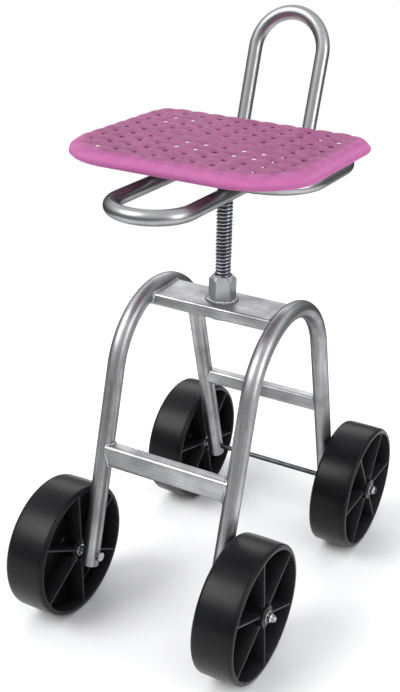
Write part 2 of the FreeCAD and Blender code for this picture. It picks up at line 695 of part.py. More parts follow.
def back_handle_tube():
    """The rear U: two rails that bend up behind the seat and lean back to a half-round top."""
    body = new_body("handle")
    lean = "back_lean * 1deg"
    rail = "rail_spacing / 2"
    bend_centre = ("back_bend_start", "back_bend_radius")
    spine = sketch_on(body, "YZ_Plane", "rail_line", Placement(Vector(0, 0, number(rail)), Rotation()))
    spine.setExpression("AttachmentOffset.Base.z", bound(rail))
    straight = draw_line(spine, ("weld_gap / 2", "0"), ("back_bend_start", "0"))
    bend = draw_arc(spine, bend_centre, "back_bend_radius", 270, 360 - number("back_lean"))
    smooth(spine, straight, 2, bend, 1)
    pin(spine, straight, 1, "weld_gap / 2", "0")
    tie_arc(spine, bend, bend_centre, "back_bend_radius")
    bend_end = ("back_bend_start + back_bend_radius * cos(%s)" % lean,
                "back_bend_radius * (1 - sin(%s))" % lean)
    drive(spine, Sketcher.Constraint("DistanceY", -1, 1, bend, 2, number(bend_end[1])), bend_end[1])
    rail_start = Placement(Vector(0, 0, -number("weld_gap / 2")), Rotation())
    rail_section = sketch_on(body, "XZ_Plane", "rail_section", rail_start)
    rail_section.setExpression("AttachmentOffset.Base.z", bound("-weld_gap / 2"))
    draw_tube_section(rail_section, rail, "0", "seat_tube_diameter", "seat_tube_wall")
    lower = pipe(body, rail_section, spine)
    tilt = Rotation(Vector(1, 0, 0), -number("back_lean"))
    leaning = Placement(Vector(0, number(bend_end[1]), -number(bend_end[0])), tilt)
    upright = sketch_on(body, "XZ_Plane", "handle_line", leaning)
    rise = "(back_top - rail_height - (%s)) / cos(%s)" % (bend_end[1], lean)
    turn = ("0", "%s - %s" % (rise, rail))
    leg = draw_line(upright, (rail, "0"), (rail, turn[1]))
    top = draw_arc(upright, turn, rail, 0, 90)
    smooth(upright, leg, 2, top, 1)
    pin(upright, leg, 1, rail, "0")
    tie_arc(upright, top, turn, rail)
    upright.addConstraint(Sketcher.Constraint("PointOnObject", top, 2, -2))
    foot_plane = leaning.multiply(Placement(Vector(), Rotation(Vector(1, 0, 0), -90)))
    leg_section = sketch_on(body, "XZ_Plane", "handle_section", foot_plane)
    draw_tube_section(leg_section, rail, "0", "seat_tube_diameter", "seat_tube_wall")
    upper = pipe(body, leg_section, upright)
    mirror(body, "YZ_Plane", [lower, upper])
    return node(body, "back_handle_tube", Placement(Vector(0, 0, number("rail_height")), Rotation()))


def tab_places():
    """The four places of the seat's screws, as signs across and along."""
    return [(across, along) for across in (-1, 1) for along in (-1, 1)]


def seat_mounting_tabs():
    """Four small plates on the inside of the rim ring, each drilled for a seat screw."""
    rim_face = number("rim_length / 2 - seat_tube_diameter / 2 - weld_gap")
    pieces = []
    for index, (across, along) in enumerate(tab_places()):
        plate = primitive("Box", "tab_%d_plate" % index, Length="tab_length", Width="tab_depth",
                          Height="tab_thickness")
        hole = primitive("Cylinder", "tab_%d_hole" % index, Height="tab_thickness",
                         Radius="seat_screw_diameter / 2 + seat_screw_clearance")
        left = rim_face - number("tab_length") if across > 0 else -rim_face
        plate.Placement.Base = Vector(left, along * number(BOSS_Y) - number("tab_depth") / 2, 0)
        hole.Placement.Base = Vector(across * number(BOSS_X), along * number(BOSS_Y), 0)
        tab = cut("tab_%d" % index, plate, hole)
        tab.Placement.Base = Vector(0, 0, number(TAB_TOP + " - tab_thickness"))
        pieces.append(tab)
    group("seat_mounting_tabs", pieces)


def seat_screws():
    """Four pan-head screws that come up through the tabs into the seat's bosses."""
    pieces = []
    for index, (across, along) in enumerate(tab_places()):
        head = primitive("Cylinder", "seat_screw_%d_head" % index, Radius="seat_screw_head / 2",
                         Height="seat_screw_head_height")
        shank = primitive("Cylinder", "seat_screw_%d_shank" % index, Radius="seat_screw_diameter / 2",
                          Height="seat_screw_head_height + tab_thickness + seat_screw_bite")
        screw = doc.addObject("Part::Fuse", "seat_screw_%d" % index)
        screw.Base = head
        screw.Tool = shank
        below = number(TAB_TOP + " - tab_thickness - seat_screw_head_height")
        screw.Placement.Base = Vector(across * number(BOSS_X), along * number(BOSS_Y), below)
        pieces.append(screw)
    group("seat_screws", pieces)


def draw_skirt_section(sketch):
    """The rolled edge of the seat: a wide roll down from the top, then a tight lip that curls under."""
    roll, lip = number("roll_angle"), number("lip_angle")
    roll_centre = ("seat_depth / 2 - " + ROLL_WIDTH, "-roll_radius")
    lip_x = "seat_depth / 2 - lip_radius"
    lip_y = "-roll_radius + (roll_radius - lip_radius) * cos(roll_angle * 1deg)"
    outer_roll = draw_arc(sketch, roll_centre, "roll_radius", 90 - roll, 90)
    inner_roll = draw_arc(sketch, roll_centre, "roll_radius - seat_wall", 90 - roll, 90)
    outer_lip = draw_arc(sketch, (lip_x, lip_y), "lip_radius", -lip, 90 - roll)
    inner_lip = draw_arc(sketch, (lip_x, lip_y), "lip_radius - seat_wall", -lip, 90 - roll)
    ends = [(sketch.getPoint(outer_roll, 2), sketch.getPoint(inner_roll, 2)),
            (sketch.getPoint(outer_lip, 1), sketch.getPoint(inner_lip, 1))]
    top, foot = [sketch.addGeometry(Part.LineSegment(*pair)) for pair in ends]
    tie_arc(sketch, outer_roll, roll_centre, "roll_radius")
    tie_arc(sketch, inner_roll, roll_centre, "roll_radius - seat_wall")
    for one, one_end, other, other_end in (
            (outer_roll, 2, top, 1), (inner_roll, 2, top, 2),
            (outer_lip, 1, foot, 1), (inner_lip, 1, foot, 2),
            (outer_lip, 3, inner_lip, 3)):
        sketch.addConstraint(Sketcher.Constraint("Coincident", one, one_end, other, other_end))
    smooth(sketch, outer_roll, 1, outer_lip, 2)
    smooth(sketch, inner_roll, 1, inner_lip, 2)
    sketch.addConstraint(Sketcher.Constraint("PointOnObject", outer_lip, 3, foot))
    sketch.addConstraint(Sketcher.Constraint("Vertical", top))
    roll_start = Sketcher.Constraint("DistanceX", -1, 1, outer_roll, 2, number(roll_centre[0]))
    drive(sketch, roll_start, roll_centre[0])
    drive(sketch, Sketcher.Constraint("Radius", outer_lip, number("lip_radius")), "lip_radius")
    drive(sketch, Sketcher.Constraint("DistanceX", -1, 1, outer_lip, 3, number(lip_x)), lip_x)
    foot_y = lip_y + " - lip_radius * sin(lip_angle * 1deg)"
    drive(sketch, Sketcher.Constraint("DistanceY", -1, 1, outer_lip, 1, number(foot_y)), foot_y)


def hole_grid(body, name, columns, rows, row_step):
    """A grid of square holes through the top, made by one pocket repeated both ways."""
    sketch = sketch_on(body, "XY_Plane", name)
    left = "-(%s - 1) * hole_pitch / 2" % columns
    front = "-(%s - 1) * (%s) / 2" % (rows, row_step)
    draw_bar(sketch, left, front, "hole_side", "hole_side")
    hole = feature(body, "Pocket", name + "_hole", sketch, SideType="Symmetric", Length="6 * seat_wall")
    grid = feature(body, "LinearPattern", name + "_grid", Originals=[hole], Mode="Spacing", Mode2="Spacing",
                   Direction=(origin_part(body, "X_Axis"), [""]),
                   Direction2=(origin_part(body, "Y_Axis"), [""]),
                   Offset="hole_pitch", Offset2=row_step, Occurrences=columns, Occurrences2=rows)
    body.Tip = grid
    return grid


def draw_seat_half(sketch, inset):
    """The left half of the seat's outline as an open line, from the rear's middle round to the front's."""
    left = "%s - seat_length / 2" % inset
    rear, front = "seat_depth / 2 - %s" % inset, "%s - seat_depth / 2" % inset
    rear_centre = ("rear_corner - seat_length / 2", "seat_depth / 2 - rear_corner")
    front_centre = ("front_corner - seat_length / 2", "front_corner - seat_depth / 2")
    rear_radius, front_radius = "rear_corner - %s" % inset, "front_corner - %s" % inset
    rear_run = draw_line(sketch, ("0", rear), (rear_centre[0], rear))
    rear_turn = draw_arc(sketch, rear_centre, rear_radius, 90, 180)
    side_run = draw_line(sketch, (left, rear_centre[1]), (left, front_centre[1]))
    front_turn = draw_arc(sketch, front_centre, front_radius, 180, 270)
    front_run = draw_line(sketch, (front_centre[0], front), ("0", front))
    chain = (rear_run, rear_turn, side_run, front_turn, front_run)
    for one, other in zip(chain, chain[1:]):
        smooth(sketch, one, 2, other, 1)
    pin(sketch, rear_run, 1, "0", rear)
    pin(sketch, front_run, 2, "0", front)
    tie_arc(sketch, rear_turn, rear_centre, rear_radius)
    tie_arc(sketch, front_turn, front_centre, front_radius)
    return rear_run, front_run


def draw_rest_ribs(sketch):
    """Four straight ribs, one over each straight run of the rim ring."""
    side_run, end_run = "rim_depth - 2 * rim_corner", "rim_length - 2 * rim_corner"
    for sign in ("+", "-"):
        draw_bar(sketch, "%s rim_length / 2" % sign, RIM_MIDDLE, "seat_rib", side_run)
        draw_bar(sketch, "0", "%s %s rim_depth / 2" % (RIM_MIDDLE, sign), end_run, "seat_rib")


def seat_top_and_skirt(body):
    """The seat's flat top and rolled skirt, drawn as a left half and mirrored."""
    path = sketch_on(body, "XY_Plane", "seat_outline")
    draw_seat_half(path, "0")
    section = sketch_on(body, "YZ_Plane", "skirt_section")
    draw_skirt_section(section)
    skirt = pipe(body, section, path)
    plan = sketch_on(body, "XY_Plane", "seat_top")
    rear_run, front_run = draw_seat_half(plan, ROLL_WIDTH)
    middle = plan.addGeometry(Part.LineSegment(plan.getPoint(front_run, 2), plan.getPoint(rear_run, 1)))
    plan.addConstraint(Sketcher.Constraint("Coincident", front_run, 2, middle, 1))
    plan.addConstraint(Sketcher.Constraint("Coincident", middle, 2, rear_run, 1))
    top = feature(body, "Pad", "Top", plan, Length="seat_wall", Reversed=True)
    mirror(body, "YZ_Plane", [skirt, top])


def seat_shell():
    """The moulded seat: perforated top, rolled skirt, ribs that rest on the rim ring and four bosses."""
    body = new_body("shell")
    seat_top_and_skirt(body)
    root = "seat_wall / 2"
    ribs = sketch_on(body, "XY_Plane", "rest_ribs")
    draw_rest_ribs(ribs)
    sink(ribs, root)
    feature(body, "Pad", "RestRibs", ribs, Reversed=True,
            Length="seat_height - (%s) - seat_tube_diameter / 2 - rest_gap - %s" % (RIM_HEIGHT, root))
    bosses = sketch_on(body, "XY_Plane", "bosses")
    pilots = sketch_on(body, "XY_Plane", "pilot_holes")
    for across in ("", "-"):
        for along in ("+", "-"):
            middle = (across + BOSS_X, "%s %s %s" % (RIM_MIDDLE, along, BOSS_Y))
            draw_circle(bosses, *middle, "boss_diameter")
            draw_circle(pilots, *middle, "seat_screw_diameter + 2 * pilot_clearance")
    boss_length = "seat_height - (%s) - weld_gap" % TAB_TOP
    sink(bosses, root)
    feature(body, "Pad", "Bosses", bosses, Reversed=True, Length="%s - %s" % (boss_length, root))
    sink(pilots, boss_length)
    feature(body, "Pocket", "Pilots", pilots, Reversed=True, Length="seat_screw_bite + 1")
    hole_grid(body, "middle_rows", "hole_columns", "hole_rows", "hole_pitch")
    hole_grid(body, "edge_rows", "edge_columns", 2, "(hole_rows + 1) * hole_pitch")
    place = Vector(0, -number(RIM_MIDDLE), number("seat_height"))
    return node(body, "seat_shell", Placement(place, Rotation()))


def check_document():
    """Stops with the names of any object that failed, or any node without a sound solid."""
    faults = [thing.Name for thing in doc.Objects if "Invalid" in thing.State or "Error" in thing.State]
    faults += [piece.Label for piece in nodes if piece.Shape.isNull() or not piece.Shape.isValid()]
    if faults:
        raise RuntimeError("failed: " + ", ".join(faults))


def write_nodes():
    """Writes one file per node."""
    os.makedirs("parts", exist_ok=True)
    for piece in nodes:
        piece.Shape.exportStep("parts/%s.step" % piece.Label)


def main():
    """Builds the whole seat and writes it out."""
    fill_sheet()
    for side in SIDES:
        arch_tube(side)
    bridge_tube()
    crossbar("front")
    crossbar("rear")
    lift_nut()
    nut_weld_bead()
    rear_axle_rod()
    for side in SIDES:
        front_axle_bolt(side)
    axle_fasteners()
    for end in ENDS:
        for side in SIDES:
            wheel(end, side)
    lift_screw()
    stop_collar()
    screw_top_plate()
    seat_rim_tube()
    front_loop_tube()
    back_handle_tube()
    seat_mounting_tabs()
    seat_shell()
    seat_screws()
    doc.recompute()
    check_document()
    write_nodes()


main()
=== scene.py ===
"""Rolling garden seat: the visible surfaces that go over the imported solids.

Every length is in metres, in the frame of the solids: +X to the right, +Y to the rear, +Z up.
"""
import json
import math

import bmesh
import bpy
import numpy as np
from mathutils import Matrix, Vector


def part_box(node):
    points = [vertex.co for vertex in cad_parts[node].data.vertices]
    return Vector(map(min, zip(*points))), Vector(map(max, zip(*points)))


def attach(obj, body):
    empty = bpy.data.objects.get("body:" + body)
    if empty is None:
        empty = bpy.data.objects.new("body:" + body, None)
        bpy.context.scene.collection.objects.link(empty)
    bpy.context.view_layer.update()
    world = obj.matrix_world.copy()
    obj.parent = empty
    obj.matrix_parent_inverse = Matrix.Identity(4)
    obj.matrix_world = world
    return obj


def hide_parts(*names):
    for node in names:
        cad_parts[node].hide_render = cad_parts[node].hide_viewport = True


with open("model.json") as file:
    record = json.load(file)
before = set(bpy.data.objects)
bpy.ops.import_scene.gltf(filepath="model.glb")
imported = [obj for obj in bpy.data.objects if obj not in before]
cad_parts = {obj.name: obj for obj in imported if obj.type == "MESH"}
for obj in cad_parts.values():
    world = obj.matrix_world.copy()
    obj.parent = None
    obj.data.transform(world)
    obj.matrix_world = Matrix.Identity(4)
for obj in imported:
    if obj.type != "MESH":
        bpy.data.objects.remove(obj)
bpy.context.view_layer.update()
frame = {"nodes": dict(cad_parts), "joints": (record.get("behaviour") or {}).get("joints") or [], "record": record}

bl_info = {
    "name": "Rolling garden seat",
    "version": (1, 0, 0),
    "blender": (4, 5, 0),
    "location": "View3D > Sidebar > Garden seat",
    "description": "Builds the visible surfaces of a rolling garden seat over its solids",
    "category": "Object",
}

WHEELS = ("front_left", "front_right", "rear_left", "rear_right")
AXLES = {joint["name"].removesuffix("_spin"): joint["pos_m"] for joint in frame["joints"]
         if joint["name"].endswith("_spin")}
SEAT_LOW, SEAT_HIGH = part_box("seat_shell")
SEAT_HALF = np.array([SEAT_HIGH.x - SEAT_LOW.x, SEAT_HIGH.y - SEAT_LOW.y]) / 2
SEAT_MIDDLE = np.array([SEAT_HIGH.x + SEAT_LOW.x, SEAT_HIGH.y + SEAT_LOW.y]) / 2
RIM_LOW, RIM_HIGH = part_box("seat_rim_tube")
TABS_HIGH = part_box("seat_mounting_tabs")[1]
SEAT_SCREWS_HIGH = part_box("seat_screws")[1]
SCREW_LOW, SCREW_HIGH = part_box("lift_screw")
NUT_LOW, NUT_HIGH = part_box("lift_nut")
BRIDGE_LOW, BRIDGE_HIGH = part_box("bridge_tube")
# Pieces whose finish carries lengthwise streaks, partly drawing lines and partly painted reflections.
STREAKED = {"left_arch_tube": "arch_zinc", "right_arch_tube": "arch_zinc", "bridge_tube": "bar_zinc",
         "front_crossbar": "bar_zinc", "rear_crossbar": "bar_zinc"}
LINES_TO_A_METRE, BREAKS_TO_A_METRE = 240.0, 4.0
HOLE_FIELDS = ((5, 3), (4, 4))  # columns and rows of holes on each side of the middle; the fields overlap
SKIRT_STEPS = 16  # rows of points down the seat's skirt
DEEPEST = 1.2  # depth of the weave's recesses over the rise of its strands
HEXAGON_POWER = 60  # the higher, the sharper the corners of a hexagon
UNCUT_CORNER = 1.17  # radius of a nut's blank over half its flats, just past the corners
WELDED_SHARE = 0.44  # a bead is laid up to this share of a tube's diameter from its middle line
BEAD_STAND_OFF = 0.0006  # distance of a bead's middle line from the tube that it is laid on
SENSOR_MM = 36.0  # width of the camera's sensor


# Properties


def length(name, description, millimetres):
    """A length that a user may change, given in millimetres and kept in metres."""
    return bpy.props.FloatProperty(name=name, description=description, default=millimetres / 1000,
                                   unit="LENGTH", precision=5)


def angle(name, description, degrees):
    """An angle that a user may change, given in degrees and kept in radians."""
    return bpy.props.FloatProperty(name=name, description=description, default=math.radians(degrees),
                                   subtype="ANGLE")


def colour(name, description, red, green, blue):
    """A colour that a user may change."""
    return bpy.props.FloatVectorProperty(name=name, description=description, default=(red, green, blue),
                                         size=3, min=0, max=1, subtype="COLOR")


class SeatSizes(bpy.types.PropertyGroup):
    """Sizes of the moulded seat."""
    pitch: length("Weave pitch", "Distance between neighbouring holes", 27)
    hole: length("Hole side", "Side of a square hole", 6)
    relief: length("Relief", "Rise of a strand where it lies on top", 1.3)
    wall: length("Wall", "Thickness of the moulding", 3)
    hole_wall: length("Hole wall", "Thickness of the moulding at a hole", 1.3)
    front_corner: length("Front corner", "Radius of the outline's front corners", 91)
    rear_corner: length("Rear corner", "Radius of the outline's rear corners", 47)
    roll_radius: length("Roll radius", "Radius of the wide roll at the edge", 26)
    roll_angle: angle("Roll angle", "How far the wide roll turns down", 45)
    lip_radius: length("Lip radius", "Radius of the tight lip under the roll", 5)
    lip_angle: angle("Lip angle", "How far the lip curls under", 55)
    rib: length("Rib", "Thickness of a rib that rests on the rim tube", 2.5)
    rib_gap: length("Rib gap", "Gap between a rib and the rim tube", 0.3)
    rim_corner: length("Rim corner", "Radius of the rim tube's corners", 63)
    boss: length("Boss", "Diameter of a screw boss", 12)
    boss_gap: length("Boss gap", "Gap between a boss and its tab", 0.2)
    pilot: length("Pilot", "Diameter of the pilot hole in a boss", 4.6)
    screw_head: length("Screw head", "Diameter of a seat screw's head", 9)
    cells: bpy.props.IntProperty(name="Cells", description="Grid cells to one weave pitch", default=18, min=6)


class WheelSizes(bpy.types.PropertyGroup):
    """Sizes of a moulded wheel."""
    diameter: length("Diameter", "Outer diameter of the tread", 203)
    width: length("Width", "Width of the tread", 62)
    tread_round: length("Tread round", "Rounding at both edges of the tread", 5)
    crown: length("Crown", "Fall of the tread from its middle to its edges", 0.6)
    rim_edge: length("Rim edge", "Flat part of the rim's side", 3)
    rim_root: length("Rim root", "Extra depth of the rim at the web", 2)
    web: length("Web", "Thickness of the disc between hub and rim", 5)
    hub: length("Hub", "Diameter of the hub", 34)
    hub_inner: length("Hub inner end", "Inner end of the hub from the wheel's middle", 25.9)
    hub_outer: length("Hub outer end", "Outer end of the hub from the wheel's middle", 33)
    bore: length("Bore", "Diameter of the bore", 8.12)
    rib: length("Rib", "Thickness of a rib", 3)
    rib_recess: length("Rib recess", "How far the ribs stay behind the rim's side", 1.5)
    turns: bpy.props.FloatVectorProperty(
        name="Rest turns", description="Turn of each wheel about its axle at rest", size=4, unit="ROTATION",
        default=[math.radians(turn) for turn in (0, 6, 15, 31)])


class FastenerSizes(bpy.types.PropertyGroup):
    """Sizes of the axles, nuts and washers."""
    axle: length("Axle", "Diameter of the axles", 8)
    pitch: length("Thread pitch", "Rise of an axle's thread in one turn", 1.25)
    flats: length("Flats", "Size of the axle nuts across flats", 13)
    jam: length("Jam nut", "Height of the nut beside the leg", 5.5)
    lock: length("Lock nut", "Height of the nut on the outer end", 8)
    head: length("Head", "Height of a bolt head", 5.3)
    washer: length("Washer", "Outer diameter of a washer", 18)
    thickness: length("Washer thickness", "Thickness of a washer", 1.6)
    play: length("Side play", "Gap between hub and washer", 0.3)
    thread: length("Thread", "Length of thread inside the outer washer", 20)
    leg_face: length("Leg face", "Outer side of a leg from the middle, with its weld gap", 116.7)
    leg_inside: length("Leg inside", "Inner side of a leg from the middle", 91.3)


class ScrewSizes(bpy.types.PropertyGroup):
    """Sizes of the lift screw, its nut and its weld."""
    diameter: length("Diameter", "Outer diameter of the lift thread", 22)
    pitch: length("Pitch", "Rise of the lift thread in one turn", 5)
    depth: length("Depth", "Depth of the lift thread", 1.8)
    foot: length("Foot", "Diameter of the plain foot in the collar", 14)
    foot_length: length("Foot length", "Height of the plain foot", 9.5)
    head: length("Head", "Diameter of the plain head in the top plate", 16)
    head_length: length("Head length", "Height of the plain head", 4)
    flats: length("Nut flats", "Size of the lift nut across flats", 34)
    chamfer: length("Nut chamfer", "Width that the chamfer takes off the nut's top", 6)
    countersink: length("Countersink", "Width of the countersink in the nut's top", 1.8)
    bead: length("Bead", "Size of the weld at the nut's foot", 5)


class WeldSizes(bpy.types.PropertyGroup):
    """Sizes of the welds on the chassis."""
    bead: length("Bead", "Width of a weld bead", 4.4)
    ripple: length("Ripple", "Distance between the ripples of a bead", 2.6)
    tube: length("Tube", "Diameter of the arch tubes", 25)
    spacing: length("Spacing", "Distance between the two arches", 208)
    crown_height: length("Crown height", "Height of the arches' middle line", 459.5)
    crown_radius: length("Crown radius", "Radius of the arches' middle line", 118)
    bar_corner: length("Bar corner", "Corner radius of the crossbars", 5)


class Finishes(bpy.types.PropertyGroup):
    """Colours of the finishes."""
    # The top colour is darker than the skirt colour: partly dirt, partly painted shade for how the light falls on
    # the flat top.
    seat: colour("Seat", "Worn top of the moulded seat", 0.195, 0.04, 0.118)
    seat_pale: colour("Seat patches", "Paler patches of the worn top", 0.31, 0.095, 0.205)
    # Painted light: the skirt gets a lighter colour than the top, which shows more as the edge turns down.
    seat_skirt_light: colour("Seat edge", "Skirt of the moulded seat", 0.51, 0.15, 0.36)
    # Painted shade: the recess colour darkens the weave's recesses.
    seat_recess_shade: colour("Seat recess", "Recesses of the weave", 0.16, 0.036, 0.1)
    wheel: colour("Wheel", "Moulded wheels", 0.0034, 0.0034, 0.0039)
    # Painted highlight: the lighter grey that the wheels' rounded edges take.
    wheel_edge_highlight: colour("Wheel edge", "Rubbed edges of the wheels", 0.045, 0.044, 0.048)
    zinc: colour("Zinc", "Plated chassis tube", 0.57, 0.57, 0.582)
    zinc_dull: colour("Dull zinc", "Duller patches of the plating", 0.31, 0.31, 0.32)
    bright: colour("Bright zinc", "Plated nuts and washers", 0.62, 0.635, 0.66)
    chrome: colour("Chrome", "Polished seat tube", 0.47, 0.472, 0.478)
    chrome_dull: colour("Dull chrome", "Duller patches of the seat tube", 0.36, 0.36, 0.367)
    dark_steel: colour("Dark steel", "Bare steel of the rear rod", 0.10, 0.108, 0.112)
    screw: colour("Screw", "Crests of the lift thread", 0.70, 0.735, 0.77)
    # Painted shade: the dark root colour stands for the shade in the thread's roots.
    screw_root: colour("Screw root", "Oiled roots of the lift thread", 0.045, 0.05, 0.056)
    # Painted shade: the dark grazing tint darkens the metals' reflection at their edges.
    grazing: colour("Grazing", "Tint of the metals at grazing sight", 0.2, 0.2, 0.21)


class Viewpoint(bpy.types.PropertyGroup):
    """Where the camera stands, and the light."""
    azimuth: angle("Azimuth", "Turn of the camera from the front towards the right", 26.85)
    elevation: angle("Elevation", "Angle of the camera above the ground", 28.95)
    roll: angle("Roll", "Tilt of the camera about its own axis", 2.16)
    distance: length("Distance", "Camera to target", 1573.3)
    target: bpy.props.FloatVectorProperty(name="Target", description="Point that the camera looks at",
                                          default=(0.02118, 0.00916, 0.24562), unit="LENGTH")
    focal: bpy.props.FloatProperty(name="Focal length", description="Focal length over image height",
                                   default=1.51978)
    shift: bpy.props.FloatVectorProperty(name="Shift", description="Camera shift over image height", size=2,
                                         default=(-0.04858, 0.12543))
    floor: colour("Floor", "Pale floor", 0.9, 0.9, 0.9)
    floor_size: length("Floor size", "Side of the pale floor", 2600)


class GardenSeat(bpy.types.PropertyGroup):
    """All settings of the rolling garden seat."""
    seat: bpy.props.PointerProperty(type=SeatSizes)
    wheel: bpy.props.PointerProperty(type=WheelSizes)
    fastener: bpy.props.PointerProperty(type=FastenerSizes)
    screw: bpy.props.PointerProperty(type=ScrewSizes)
    weld: bpy.props.PointerProperty(type=WeldSizes)
    finish: bpy.props.PointerProperty(type=Finishes)
    view: bpy.props.PointerProperty(type=Viewpoint)


# Surfaces


def rings_shell(rings, closed):
    """A closed shell over rings of points, indexed ring, place, xyz.

    Each face joins a point, its neighbour in the ring and the same two on the next ring. The rings
    meet in a loop, or else the first and the last get a flat cap.
    """
    rows, columns = rings.shape[:2]
    row, here = np.meshgrid(np.arange(rows if closed else rows - 1), np.arange(columns), indexing="ij")
    right, above = (here + 1) % columns, (row + 1) % rows
    corners = (row * columns + here, row * columns + right, above * columns + right, above * columns + here)
    faces = np.stack(corners, axis=-1).reshape(-1, 4).tolist()
    if not closed:
        faces += [list(range(columns)), list(range((rows - 1) * columns, rows * columns))]
    return rings.reshape(-1, 3), faces


def unit(vectors):
    """Vectors scaled to a length of one."""
    return vectors / np.linalg.norm(vectors, axis=1, keepdims=True)


def run_along(path):
    """Distance of a line's points from its start, along the line."""
    return np.concatenate([[0], np.cumsum(np.linalg.norm(np.diff(path, axis=0), axis=1))])


def rounded(corners, radii, steps):
    """A closed outline with its corners rounded.

    With u and v the directions from a corner to its neighbours and h half the angle between them, the
    arc's centre lies radius / sin h from the corner along u + v, and its points are the spherical
    interpolation between the two spokes from that centre to the sides.
    """
    corners = np.asarray(corners, float)
    radii = np.broadcast_to(np.asarray(radii, float), len(corners))[:, None]
    before, after = [unit(np.roll(corners, way, axis=0) - corners) for way in (1, -1)]
    half = np.arccos(np.clip((before * after).sum(1, keepdims=True), -1, 1)) / 2
    centre = corners + unit(before + after) * radii / np.sin(half)
    first, last = [corners + side * radii / np.tan(half) - centre for side in (before, after)]
    sweep = (np.pi - 2 * half)[:, :, None]
    part = np.linspace(0, 1, steps)[None, :, None]
    spokes = np.sin((1 - part) * sweep) * first[:, None] + np.sin(part * sweep) * last[:, None]
    return (centre[:, None] + spokes / np.sin(sweep)).reshape(-1, 2)


def full_turn(count):
    """Angles of a full turn in equal steps."""
    return np.linspace(0, 2 * np.pi, count, endpoint=False)


def about_x(along, radius, around):
    """Points about the X axis: (along, radius cos around, radius sin around)."""
    return np.stack([along + 0 * around, radius * np.cos(around), radius * np.sin(around)], axis=-1)


def turned(profile, count):
    """Rings about the X axis from a profile of points (along, radius)."""
    return about_x(profile[:, :1], profile[:, 1:], full_turn(count))


def upright(points):
    """The same points with the X axis stood up along Z, by moving each coordinate one place on."""
    return np.roll(points, -1, axis=-1)


def hexagon(around, flats):
    """Radius of a hexagon with eased corners: half the flats over a high power mean of three cosines."""
    turns = np.array([0, 1, 2])[:, None] * np.pi / 3
    return flats / 2 / (np.abs(np.cos(around - turns)) ** HEXAGON_POWER).sum(0) ** (1 / HEXAGON_POWER)


def six_sided(profile, flats, count):
    """Rings about the X axis whose radius is the profile's, or the hexagon's where that is smaller."""
    around = full_turn(count)
    return about_x(profile[:, :1], np.minimum(profile[:, 1:], hexagon(around, flats)), around)


def thread_wave(along, around, pitch, flank):
    """Depth of a thread from 0 at the crest to 1 at the root.

    The phase is along / pitch less the share of a turn; a triangle wave of it is steepened by flank
    and clipped, which gives flat crests and roots.
    """
    phase = along / pitch - around / (2 * np.pi)
    triangle = 2 * np.abs(phase - np.floor(phase + 0.5))
    return np.clip((triangle - 0.5) * flank + 0.5, 0, 1)


def axle_bar(size, stations, thread):
    """Rings of an axle along X, from its stations and those of its threaded end.

    The radius is half the diameter, less a chamfer that grows over the last bit before the tip, less
    the thread's depth times the thread wave. The depth sets in over the thread's first pitch.
    """
    chamfer, depth = 0.0008, 0.0006
    along, around, (plain, tip) = stations[:, None], full_turn(40), thread[[0, -1]]
    radius = size.axle / 2 - np.interp(np.abs(along), [tip - chamfer, tip], [0, chamfer])
    deep = depth * np.interp(np.abs(along), [plain, plain + size.pitch], [0, 1])
    return about_x(along, radius - deep * thread_wave(along, around, size.pitch, 1.4), around)


def bead_rings(path, outward, width, ripple, closed):
    """A weld bead: a round section carried along a path, with ripples.

    The section's radius is half the width, times one plus a tenth of a sine of the path's length over
    the ripple; a bead with two ends also shrinks towards them by a square root of their distance.
    """
    ahead = np.roll(path, -1, axis=0) - np.roll(path, 1, axis=0)
    if not closed:
        ahead[0], ahead[-1] = path[1] - path[0], path[-1] - path[-2]
    ahead = unit(ahead)
    side = unit(np.cross(ahead, outward))
    out = np.cross(side, ahead)
    run = run_along(path)
    size = width / 2 * (1 + 0.1 * np.sin(2 * np.pi * run / ripple))
    if not closed:
        size *= np.sqrt(np.clip(np.minimum(run, run[-1] - run) / width, 0.05, 1))
    around = full_turn(12)[None, :, None]
    section = np.cos(around) * out[:, None] + np.sin(around) * side[:, None]
    return path[:, None] + size[:, None, None] * section


def joined(shells):
    """Several shells as one: their points in a row, and their faces counted on."""
    starts = np.cumsum([0] + [len(points) for points, _ in shells])
    faces = [[corner + start for corner in face]
             for (_, shell), start in zip(shells, starts.tolist()) for face in shell]
    return np.concatenate([points for points, _ in shells]), faces


def in_scene(name, data):
    """A new object of the scene."""
    made = bpy.data.objects.new(name, data)
    bpy.context.scene.collection.objects.link(made)
    return made


def piece(name, shells, body, slot, finish, replaced, sharp, **marks):
    """One finished piece: closed shells with their faces outwards, riding on a body.

    Edges that bend by more than the sharp angle, in degrees, stay sharp. Each mark has a value for
    every point.
    """
    points, faces = joined(shells)
    mesh = bpy.data.meshes.new(name)
    mesh.from_pydata(points, [], faces)
    shape = bmesh.new()
    shape.from_mesh(mesh)
    bmesh.ops.recalc_face_normals(shape, faces=shape.faces)
    shape.to_mesh(mesh)
    shape.free()
    mesh.shade_smooth()
    mesh.set_sharp_from_angle(angle=math.radians(sharp))
    for label, values in marks.items():
        layer = mesh.attributes.new(label, "FLOAT", "POINT")
        layer.data.foreach_set("value", np.asarray(values, np.float32))
    mesh.materials.append(finish_of(finish))
    made = in_scene(name, mesh)
    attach(made, body)
    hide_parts(*replaced)


# Finishes


def feed(tree, socket, value):
    """Sets a socket to a value, or links it to the socket given as value."""
    if isinstance(value, bpy.types.NodeSocket):
        tree.links.new(value, socket)
    else:
        socket.default_value = value


def feed_all(tree, sockets, values):
    """Feeds the named sockets; a name has underscores for its spaces."""
    for label, value in values.items():
        feed(tree, sockets[label.replace("_", " ")], value)


def add(tree, kind, **inputs):
    """A node of a kind, with its named inputs fed."""
    made = tree.nodes.new("ShaderNode" + kind)
    feed_all(tree, made.inputs, inputs)
    return made


